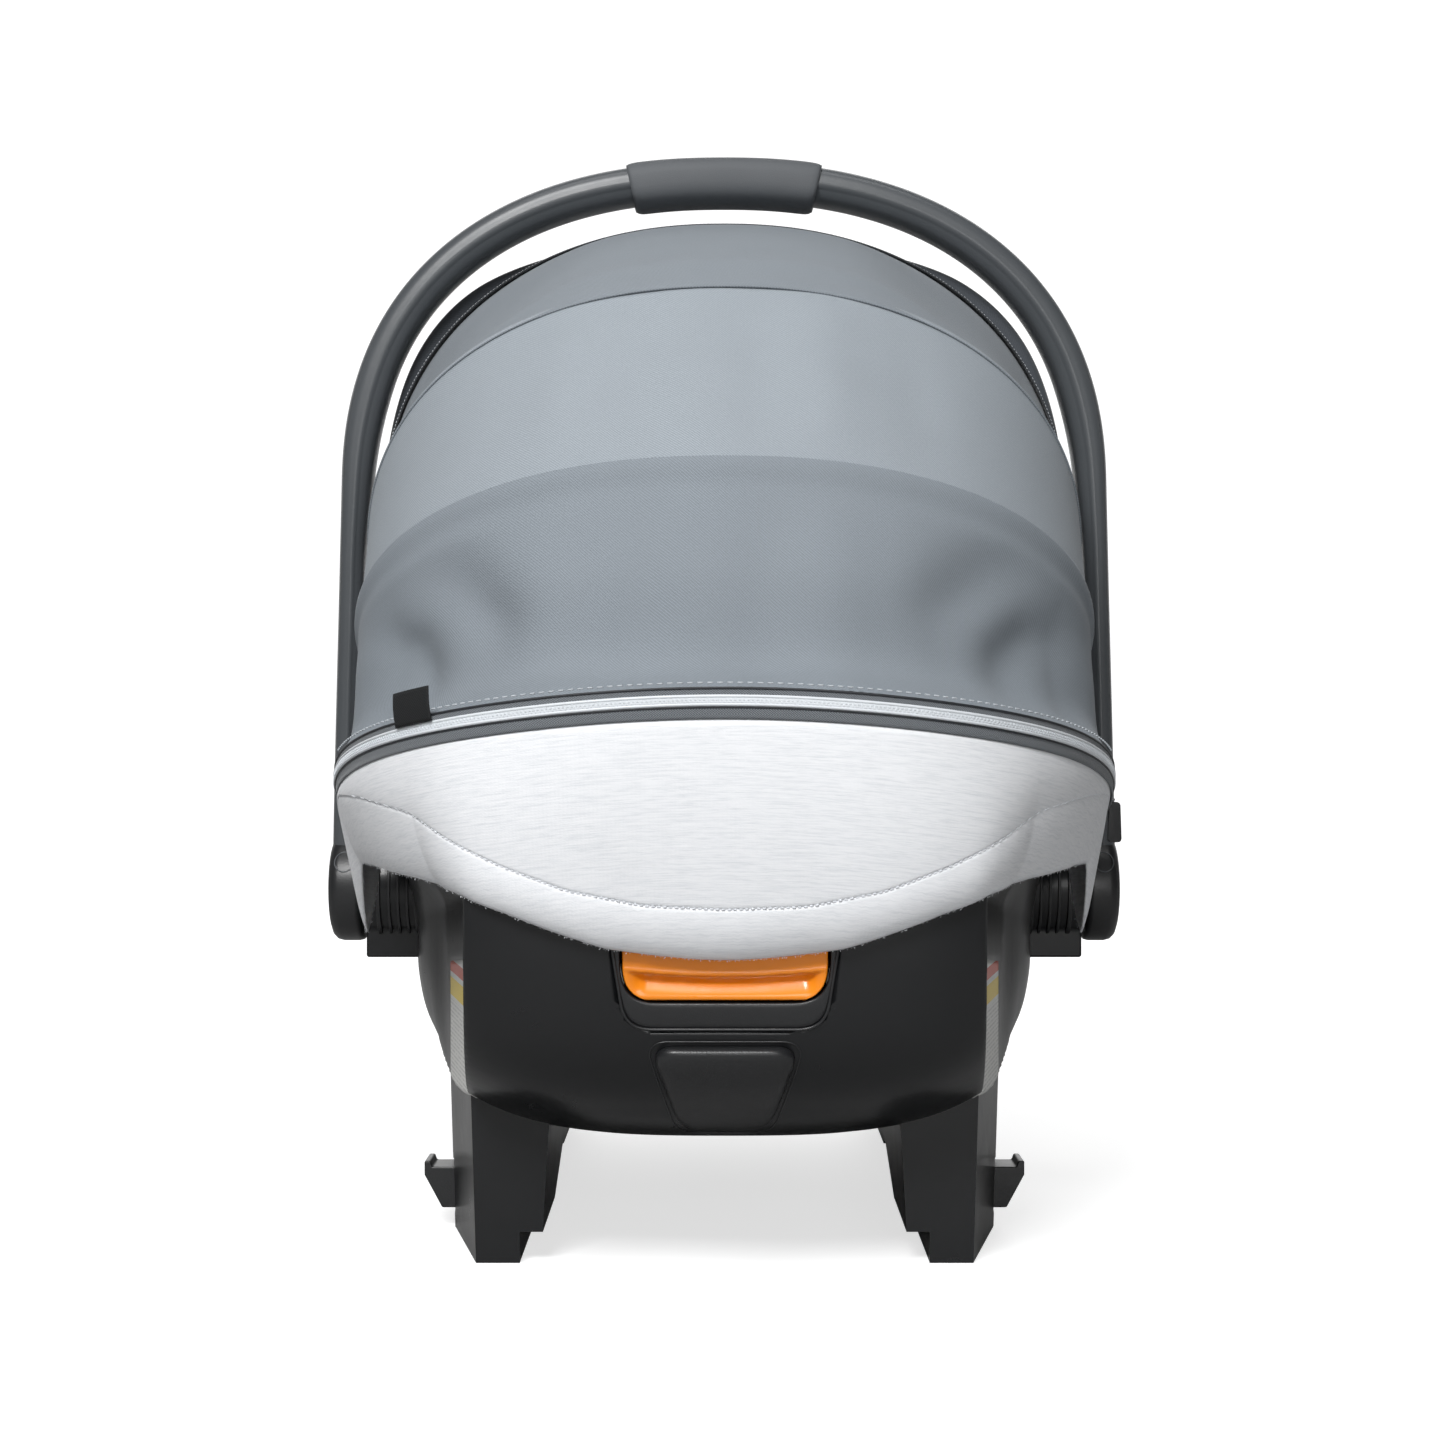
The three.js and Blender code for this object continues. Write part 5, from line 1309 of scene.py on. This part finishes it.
HEM_DEGREES = [0, 8, 21, 29, 42, 50.5, 62, 70.5, 75, 79, 82, 85.4]
HEM_HEIGHTS = [151, 156, 171.6, 179, 184, 185.5, 187, 186, 165, 146, 155, 188]
SEAM_ACROSS = [0, 36, 70, 96, 122, 141, 165, 185]
SEAM_HEIGHTS = [174.6, 176, 182.6, 192.5, 205, 216, 221.7, 221]


def softened(xs, values, where, width):
    """Linear interpolation, smoothed over a window."""
    taps = np.linspace(-1, 1, 21)
    weights = np.exp(-3 * taps**2)
    total = sum(w * np.interp(where + width * t, xs, values) for w, t in zip(weights, taps))
    return total / weights.sum()


def skirt_grid(angle, top_over, hem_z, hem_out, seam_z, upper=34, lower=22):
    """Rows of a skirt from its top edge down to the hem, with one row on the seam."""
    x = bowl(SHELL, angle, 0)[..., 0]
    top = rim_point(angle, 6.4 + np.abs(np.cos(angle)), top_over)
    seam_share = np.clip((top[:, 2] - seam_z) / (top[:, 2] - hem_z), 0.12, 0.82)
    shares = [seam_share * (1 - (1 - t) ** 1.9) for t in np.linspace(0, 1, upper + 1)]
    shares += [seam_share + (1 - seam_share) * t**1.6 for t in np.linspace(0, 1, lower + 1)[1:]]
    rows = []
    for share in shares:
        bulge = 4.2 * np.cos(angle) ** 2 * np.sin(np.pi * np.clip(share / seam_share * 0.62, 0, 1)) * (share <= seam_share)
        lower_part = np.clip((share - seam_share) / (1 - seam_share), 0, 1)
        at_seam = 4.2 * np.cos(angle) ** 2 * math.sin(math.pi * 0.62)
        bulge = np.where(share <= seam_share, bulge, at_seam * (1 - lower_part) + 2.2 * np.cos(angle) ** 2 * np.sin(np.pi * lower_part))
        out = 6.4 + np.abs(np.cos(angle)) * 1.0 + (hem_out - 6.4 - np.abs(np.cos(angle))) * share**1.25 + bulge
        point = rim_point(angle, out, top_over)
        point[:, 2] = top[:, 2] + (hem_z - top[:, 2]) * share
        rows.append(point)
    return np.array(rows), upper, x


def hull_reach(angle, height):
    """How far the shell stands out past its rim at a height, for each angle."""
    rim = rim_point(angle, np.zeros(len(angle)), 0.0)
    away = rim_point(angle, np.ones(len(angle)), 0.0) - rim
    hull = bowl(SHELL, angle[:, None], np.linspace(0, 4, 81)[None, :])
    gap = ((hull - rim[:, None]) * away[:, None]).sum(-1)
    reach = np.array([np.interp(-z, -line[:, 2], g) for z, line, g in zip(height, hull, gap)])
    taps = np.exp(-np.linspace(-2, 2, 17) ** 2)
    return np.convolve(np.pad(reach, 8, mode="edge"), taps / taps.sum(), "valid")


def make_rear_skirt():
    limit = math.radians(85.0)
    fine = np.linspace(limit, -limit, 6000)
    line = rim_point(fine, np.full(6000, 6.5), 0.0)
    extra = np.abs(np.degrees(fine)) * 0.25
    keep = resample(np.concatenate([line, extra[:, None], fine[:, None]], axis=1), 420)
    angle = keep[:, 4]
    degrees = np.abs(np.degrees(angle))
    hem_z = softened(HEM_DEGREES, HEM_HEIGHTS, degrees, 1.3)
    hem_out = softened([0, 21, 42, 60, 70, 90], [-15, -13, -10, -7, -3.5, -3], degrees, 3)
    hem_out = np.maximum(hem_out, hull_reach(angle, hem_z) + 4.5)
    across = np.abs(bowl(SHELL, angle, 0)[:, 0])
    seam_z = softened(SEAM_ACROSS, SEAM_HEIGHTS, across, 6)
    side = smoothstep(degrees, 60, 74)
    x0 = bowl(SHELL, angle, 0)[:, 0]
    top_over = zip_rise(x0) - 7.0
    top_z = rim_point(angle, np.zeros(len(angle)), top_over)[:, 2]
    seam_z = seam_z * (1 - side) + (top_z - 0.12 * (top_z - hem_z) - 2) * side
    grid, seam, _ = skirt_grid(angle, top_over, hem_z, hem_out, seam_z)
    normal = grid_normals(grid)
    normal *= np.sign((normal[..., :2] * grid[..., :2]).sum(-1, keepdims=True))
    index = np.arange(len(grid))[:, None]
    dip = -0.8 * np.exp(-((index - seam) / 2.4) ** 2) * (1 - 0.85 * side)[None]
    x = grid[..., 0]
    pucker = 0.28 * np.sin(x * 1.3 + 0.8 * np.sin(x * 0.31)) * np.exp(-((index - seam) / 2.5) ** 2) * (1 - side)[None]
    soft = 1.1 * np.sin(x / 37 + 0.4 * index / 30) * np.sin(np.pi * np.clip(index / len(grid), 0, 1))
    grid = grid + normal * (dip + pucker + soft)[..., None]
    roll = np.clip((index - (len(grid) - 5)) / 4, 0, 1) ** 2
    outer = grid - normal * (1.1 * roll)[..., None]
    inner = grid - normal * (3.0 - 1.1 * roll)[..., None]
    skirt = thick_grid("rear_skirt_cloth", outer, inner)
    dress(skirt, JERSEY, replaces=["rear_skirt"])
    declare(outer)
    seam_line = grid[seam][np.abs(grid[seam][:, 0]) < 176] + normal[seam][np.abs(grid[seam][:, 0]) < 176] * 0.25
    even = resample(seam_line, int(np.linalg.norm(np.diff(seam_line, axis=0), axis=1).sum() / 2.6))
    away = unit(even * [1, 1, 0])
    along, out, across = frames_along(even, away)
    stitches = blocks("rear_skirt_stitches", even + out * 0.4, along, across, out, (1.7, 0.6, 0.6), 0.3)
    dress(stitches, THREAD_WHITE)
    hem_line = (outer[-1] + inner[-1]) / 2
    make_fuzz("rear_skirt_fuzz", hem_line, normal[-1])


def make_fuzz(name, line, normal):
    """Short loose fibres along a cut jersey edge."""
    rng = np.random.default_rng(7)
    length = np.linalg.norm(np.diff(line, axis=0), axis=1).sum()
    count = int(length / 0.9)
    even = resample(np.concatenate([line, normal], axis=1), count)[:-1]
    root = even[:, :3] + even[:, 3:] * rng.uniform(-0.9, 0.9, count)[:, None]
    tip = root + np.stack([rng.normal(0, 0.35, count), rng.normal(0, 0.25, count), -rng.uniform(0.3, 1.0, count)], 1)
    bend = root + (tip - root) * 0.5 + rng.normal(0, 0.18, (count, 3))
    along, out, across = frames_along(even[:, :3], even[:, 3:])
    width = 0.13
    ring = np.stack([root - along * width, root + along * width, root + out * width,
                     bend - along * width, bend + along * width, bend + out * width, tip], 1)
    verts = ring.reshape(-1, 3)
    shape = [[0, 2, 1], [0, 1, 4, 3], [1, 2, 5, 4], [2, 0, 3, 5], [3, 4, 6], [4, 5, 6], [5, 3, 6]]
    faces = [[7 * i + k for k in face] for i in range(count) for face in shape]
    dress(tidy_mesh(add_object(name, verts, faces, np.zeros((len(verts), 2))), False), THREAD_WHITE)


def make_front_skirt():
    angle = np.linspace(math.radians(118), math.radians(242), 240)
    rim = rim_point(angle, np.zeros(240), 0)[:, 2]
    degrees = np.degrees(angle)
    ends = smoothstep(np.minimum(degrees - 118, 242 - degrees), 0, 9)
    hem_z = rim - 12 - 14 * ends
    grid, seam, _ = skirt_grid(angle, -3.6, hem_z, np.full(240, -1.0), rim - 3.6 - 0.62 * (rim - 3.6 - hem_z), 16, 12)
    normal = grid_normals(grid)
    normal *= np.sign((normal[..., :2] * grid[..., :2]).sum(-1, keepdims=True))
    index = np.arange(len(grid))[:, None]
    grid = grid + normal * (-0.9 * np.exp(-((index - seam) / 0.9) ** 2))[..., None]
    skirt = thick_grid("front_skirt_cloth", grid, grid - normal * 2.4)
    dress(skirt, JERSEY, replaces=["front_skirt"])
    declare(grid)


# ---------------------------------------------------------------- padding


def places(mesh):
    flat = np.empty(len(mesh.vertices) * 3)
    mesh.vertices.foreach_get("co", flat)
    return flat.reshape(-1, 3)


def puffed(rings, held, pressure=4.0, cap=6.0):
    """The rings of a closed cover after air has filled it; held is how far each point is kept in place."""
    piece = loft("cover", rings)
    before = places(piece.data)
    tree = KDTree(len(before))
    for number, point in enumerate(before):
        tree.insert(point, number)
    tree.balance()
    index = np.array([tree.find(point)[1] for point in rings.reshape(-1, 3) * MM])
    group = piece.vertex_groups.new(name="held")
    for number, weight in dict(zip(index.tolist(), np.asarray(held, float).ravel().tolist())).items():
        if weight > 0.01:
            group.add([number], weight, "REPLACE")
    air = piece.modifiers.new("air", "CLOTH")
    air.settings.quality = 4
    air.settings.mass = 0.3
    air.settings.tension_stiffness = 12
    air.settings.compression_stiffness = 12
    air.settings.bending_stiffness = 0.4
    air.settings.use_pressure = True
    air.settings.uniform_pressure_force = pressure
    air.settings.effector_weights.gravity = 0
    air.settings.vertex_group_mass = "held"
    for step in range(1, 21):
        bpy.context.scene.frame_set(step)
    after = places(piece.evaluated_get(bpy.context.evaluated_depsgraph_get()).data)
    bpy.data.objects.remove(piece)
    bpy.context.scene.frame_set(1)
    shift = (after - before) / MM
    length = np.linalg.norm(shift, axis=1, keepdims=True)
    shift *= np.minimum(1, cap / np.maximum(length, 1e-9))
    return rings + shift[index].reshape(rings.shape)


def finer(rings):
    """Rings with twice the points each way, along smooth curves through the first ones."""
    count, size = rings.shape[:2]
    rings = spline(rings, np.linspace(0, count - 1, 2 * count - 1))
    around = np.concatenate([rings[:, -2:], rings, rings[:, :3]], axis=1)
    turned = spline(around.transpose(1, 0, 2), 2 + np.arange(2 * size) / 2)
    return turned.transpose(1, 0, 2)


def sunk(rings, depth):
    """Moves ring points in along their normals; the rings run out from the middle of the upper face."""
    normal = grid_normals(rings, wrap=True)
    middle = rings.mean(axis=(0, 1))
    sign = np.sign((normal * (rings - middle)).sum())
    return rings - normal * sign * np.asarray(depth)[..., None]


def lay_weave(piece):
    """Lays a bowl-shaped cover's weave out flat, so that its courses run across the seat."""
    x, y, z = (places(piece.data)).T
    reach = np.maximum(np.hypot(x, y), 1e-6)
    flat = np.stack([x + x / reach * z, y + y / reach * z], -1)
    corner = np.empty(len(piece.data.loops), int)
    piece.data.loops.foreach_get("vertex_index", corner)
    piece.data.uv_layers["weave"].data.foreach_set("uv", flat[corner].ravel())
    return piece


def groove(distance, width):
    return np.exp(-((distance / width) ** 2))


PAD_SEAM_ROWS = (1.15, 3.1)
PAD_SEAM_DEGREES = (38, 78, 118, 150)


def pad_seams(x, y):
    """Distance in millimetres to the nearest seam of the seat pad over the point (x, y)."""
    angle = np.degrees(np.abs(np.arctan2(x, -y)))
    reach = np.hypot(x, y)
    distances = []
    for row in PAD_SEAM_ROWS:
        line = bowl(PAD, np.radians(np.linspace(0, 180, 200)), row)
        at = np.degrees(np.arctan2(line[:, 0], -line[:, 1]))
        distances.append(np.abs(reach - np.interp(angle, at, np.hypot(line[:, 0], line[:, 1]))))
    rings = np.minimum(*distances)
    inner = bowl(PAD, np.radians(np.linspace(0, 180, 200)), PAD_SEAM_ROWS[1])
    limit = np.interp(angle, np.degrees(np.arctan2(inner[:, 0], -inner[:, 1])), np.hypot(inner[:, 0], inner[:, 1]))
    for degrees in PAD_SEAM_DEGREES:
        spoke = np.abs(np.radians(angle - degrees)) * reach + np.where(reach < limit, 99, 0)
        rings = np.minimum(rings, spoke)
    return rings


def make_seat_pad():
    angles = even_angles(200)
    inside = [bowl(PAD, angles, row, 0.8) for row in np.linspace(6.97, 0.15, 56)]
    profile = [(0, 0, 1), (0.15, 0, 5), (0.5, 0, 7), (0.85, 0, 6.8), (1, 2.6, 5), (1, 5.2, 0.8), (1, 5.4, -2.6),
               (1, 3.2, -3), (1, 2.4, -1), (1, 0.8, 0.8), (0.9, 0, 1), (0.5, 0, -2), (0.32, 0, -7.4)]
    rolled = []
    rim = bowl(PAD, angles, 0)
    for fraction, out, up in spline(profile, np.linspace(0, len(profile) - 1, 26)):
        point = rim_point(angles, np.full(len(angles), out), up)
        flat = rim[:, :2] + (point[:, :2] - rim[:, :2]) * np.clip(fraction, 0, 1)
        rolled.append(np.column_stack([flat, point[:, 2]]))
    under = [bowl(LINER, angles, row, -0.6) for row in np.linspace(0.1, 6.97, 20)]
    rings = np.array(inside + rolled + under)
    row = np.arange(len(rings))[:, None] + 0 * angles[None]
    top = row < len(inside)
    x, y = rings[..., 0], rings[..., 1]
    held = np.where(row > len(inside) + 10, 1.0, np.where(row > len(inside) + 4, 0.9, 0.0))
    held = np.where(top & (pad_seams(x, y) < 2.8), 1.0, held)
    held = np.where(top & (np.abs(x) < 62) & (y < -140), np.maximum(held, 0.55), held)
    rings = finer(puffed(rings, held, 4.0, 3.2))
    row = np.arange(len(rings))[:, None]
    depth = 1.5 * groove(pad_seams(rings[..., 0], rings[..., 1]), 1.6) * (row < 2 * len(inside) - 4)
    pad = lay_weave(loft("seat_pad_cover", sunk(rings, depth)))
    dress(pad, JERSEY_PAD, replaces=["seat_pad"])
    make_pad_stitches()


def make_pad_stitches():
    """Stitches that lie in the seams of the seat pad."""
    placed = []
    for row in PAD_SEAM_ROWS:
        line = bowl(PAD, even_angles(600), row)
        line = np.vstack([line, line[:1]])
        even = resample(line, int(np.linalg.norm(np.diff(line, axis=0), axis=1).sum() / 3.6))[:-1]
        placed.append(even)
    even = np.concatenate(placed)
    lifted = seat_point(even[:, 0], even[:, 1], 0.1)
    normal = unit(seat_point(even[:, 0], even[:, 1], 3.0) - lifted)
    along = unit(np.roll(even, -1, 0) - even)
    across = np.cross(normal, along)
    stitches = blocks("seat_pad_stitches", lifted, along, across, normal, (2.3, 0.7, 0.7), 0.3)
    dress(stitches, THREAD_WHITE)


def make_insert():
    angles = even_angles(150)
    top = [bowl(PAD, angles, row, -9.4) for row in np.linspace(6.97, 4.15, 24)]
    edge = [bowl(PAD, angles, row, lift) for row, lift in ((3.95, -8.6), (3.78, -7.2), (3.68, -5.4), (3.64, -3.6), (3.66, -2.0))]
    under = [bowl(PAD, angles, row, -0.9) for row in np.linspace(3.78, 6.97, 14)]
    rings = np.array(top + edge + under)
    row = np.arange(len(rings))[:, None]
    seam = insert_seams(rings[..., 0], rings[..., 1])
    held = np.where((row > len(top) + 3) | (seam < 2.4), 1.0, 0.0)
    rings = finer(puffed(rings, held, 4.0, 1.5))
    row = np.arange(len(rings))[:, None]
    depth = 1.3 * groove(insert_seams(rings[..., 0], rings[..., 1]), 1.5) * (row < 2 * len(top))
    insert = lay_weave(loft("infant_insert_cover", sunk(rings, depth)))
    dress(insert, JERSEY_DARK, replaces=["infant_insert"])
    rim = bowl(PAD, even_angles(400), 3.66, -4.4)
    piping = tube("infant_insert_piping", rim, 1.0, 8, closed=True)
    dress(piping, PIPING_BLACK)


def insert_seams(x, y):
    """Distance to the nearest quilting line of the infant insert: a grid of slanting lines."""
    pitch = 34.0
    one, two = (x + y) / math.sqrt(2), (x - y) / math.sqrt(2)
    lines = [np.abs((value + pitch / 2) % pitch - pitch / 2) for value in (one, two)]
    return np.minimum(*lines)


def make_head_support():
    turn = np.radians(np.linspace(-121, 121, 90))
    centre = seat_point(58 * np.sin(turn), -218 - 58 * np.cos(turn), 18.0)
    out = np.stack([np.sin(turn), -np.cos(turn), 0 * turn], -1)
    share = np.abs(np.linspace(-1, 1, 90))
    radius = 14.2 * np.sqrt(np.maximum(0.02, 1 - np.clip((share - 0.9) / 0.1, 0, 1) ** 2.2))
    phase = np.linspace(0, 2 * np.pi, 40, endpoint=False)
    rings = centre[:, None] + radius[:, None, None] * (
        np.cos(phase)[None, :, None] * out[:, None] + np.sin(phase)[None, :, None] * np.array([0, 0, 1.0]))
    spot, station = np.arange(40)[None, :], np.arange(90)[:, None]
    held = np.where((spot == 10) | (spot == 30), 1.0, 0.0) * np.ones((90, 1))
    held = np.maximum(held, np.where(np.minimum(station, 89 - station) < 2, 0.8, 0))
    rings = finer(puffed(rings, held, 3.0, 2.4))
    crease = groove(np.minimum(np.abs(np.arange(80) - 20), np.abs(np.arange(80) - 60)), 1.2)
    cushion = loft("head_support_cushion", sunk(rings, 1.2 * crease[None, :] * np.ones((len(rings), 1))))
    dress(cushion, JERSEY_PAD, replaces=["head_support"])
    top = centre + np.array([0, 0, 1.0]) * (radius - 1.0)[:, None]
    piping = tube("head_support_piping", top[2:-2], 1.1, 8)
    dress(piping, PIPING_BLACK)


# ---------------------------------------------------------------- harness


def strap_lift(y):
    return 2 + 12 * smoothstep(y, -178, -148)


def ribbon(name, x, y, lift, thickness=2.0, material=None):
    """Webbing laid over the seat: x and y are grids over it, lift its height above the pad."""
    top = seat_point(x, y, lift + thickness)
    under = seat_point(x, y, lift)
    crown = 1 - np.abs(np.linspace(-1, 1, x.shape[1])) ** 6
    middle = (top + under) / 2
    top = middle + (top - middle) * (0.45 + 0.55 * crown)[None, :, None]
    under = middle + (under - middle) * (0.45 + 0.55 * crown)[None, :, None]
    piece = thick_grid(name, top, under)
    return dress(piece, material or WEBBING)


def make_shoulder_straps():
    for side, sign in (("left", -1), ("right", 1)):
        across = np.linspace(-18, 18, 19)
        y = np.linspace(-178, -6.5, 110)
        x, y_grid = np.meshgrid(sign * 30 + across, y)
        strap = ribbon(f"{side}_shoulder_webbing", x, y_grid, strap_lift(y_grid))
        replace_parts(strap, f"{side}_shoulder_strap")
        make_shoulder_pad(side, sign)
        clip = refined(f"{side}_chest_clip", 1.1, 3)
        dress(clip, TRIM_BLACK, replaces=[f"{side}_chest_clip"])
        make_lap_strap(side, sign)
        tongue = refined(f"{side}_buckle_tongue", 0.6, 2)
        dress(tongue, STEEL, replaces=[f"{side}_buckle_tongue"])


def make_shoulder_pad(side, sign):
    stations = np.linspace(-143, -75, 40)
    turn = np.linspace(0, 2 * np.pi, 48, endpoint=False)
    rings = []
    for y in stations:
        share = abs((y + 109) / 34)
        shrink = (1 - np.clip((share - 0.86) / 0.14, 0, 1) ** 2) ** 0.5 * 0.93 + 0.05
        x = sign * 30 + 25 * (0.9 + 0.1 * shrink) * spow(np.cos(turn), 0.55)
        lift = 3.2 + 4.0 * shrink * spow(np.sin(turn), 0.75)
        rings.append(seat_point(x, np.full(48, y), strap_lift(y) + lift))
    rings = np.array(rings)
    spot, station = np.arange(48)[None, :], np.arange(40)[:, None]
    edge = np.minimum(np.minimum(spot, 48 - spot), np.abs(spot - 24))
    held = np.where((edge == 2) | (station < 3) | (station > 36), 1.0, 0.0)
    held = np.where((spot > 26) & (spot < 46), np.maximum(held, 0.7), held)
    pad = loft(f"{side}_shoulder_pad_cover", finer(puffed(rings, held, 4.0, 1.6)))
    dress(pad, JERSEY_DARK, replaces=[f"{side}_shoulder_pad"])
    outline = rings[:, [0, 24]]
    loop = np.concatenate([outline[1:-1, 0], outline[-2:0:-1, 1]])
    piping = tube(f"{side}_shoulder_pad_piping", resample(np.vstack([loop, loop[:1]]), 150)[:-1], 0.8, 8, closed=True)
    dress(piping, PIPING_BLACK)


def make_lap_strap(side, sign):
    across = np.linspace(-13, 13, 15)
    run = np.linspace(50, 128, 60)
    share = (run - 50) / 78
    y = (4 - 30 * share)[:, None] + across[None, :]
    x = np.broadcast_to((sign * run)[:, None], y.shape)
    lift = np.broadcast_to((15 - 2 * share)[:, None], y.shape)
    strap = ribbon(f"{side}_lap_webbing", x, y, lift)
    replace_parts(strap, f"{side}_lap_strap")


def make_buckle():
    y, x = np.meshgrid(np.linspace(71, 115, 40), np.linspace(-19, 19, 19), indexing="ij")
    lift = 21.4 + (12 - 21.4) * (y - 71) / 44
    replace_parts(ribbon("crotch_webbing", x, y, lift), "crotch_strap")
    y, x = np.meshgrid(np.linspace(232, 266, 34), np.linspace(-15, 15, 17), indexing="ij")
    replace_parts(ribbon("adjuster_webbing", x, y, np.full(x.shape, 4.0)), "adjuster_strap")
    dress(refined("buckle_body", 1.8, 4), TRIM_BLACK, replaces=["buckle_body"])
    dress(refined("buckle_button", 0.9, 3), RED, "buckle_release", ["buckle_button"])
    dress(refined("adjuster_housing", 1.2, 3), TRIM_BLACK, replaces=["adjuster_housing"])
    dress(refined("adjuster_button", 0.7, 3), HANDLE_GREY, "adjuster_release", ["adjuster_button"])
    liner = nodes["foam_liner"]
    liner.data.materials.clear()
    liner.data.materials.append(FOAM)


# ---------------------------------------------------------------- assembly

for build in (make_shell, make_bezel, make_lever, make_cover, make_labels, make_rails, make_handle, make_canopy,
              make_rear_zip, make_rear_skirt, make_front_skirt, make_seat_pad, make_insert, make_head_support,
              make_shoulder_straps, make_buckle):
    build()
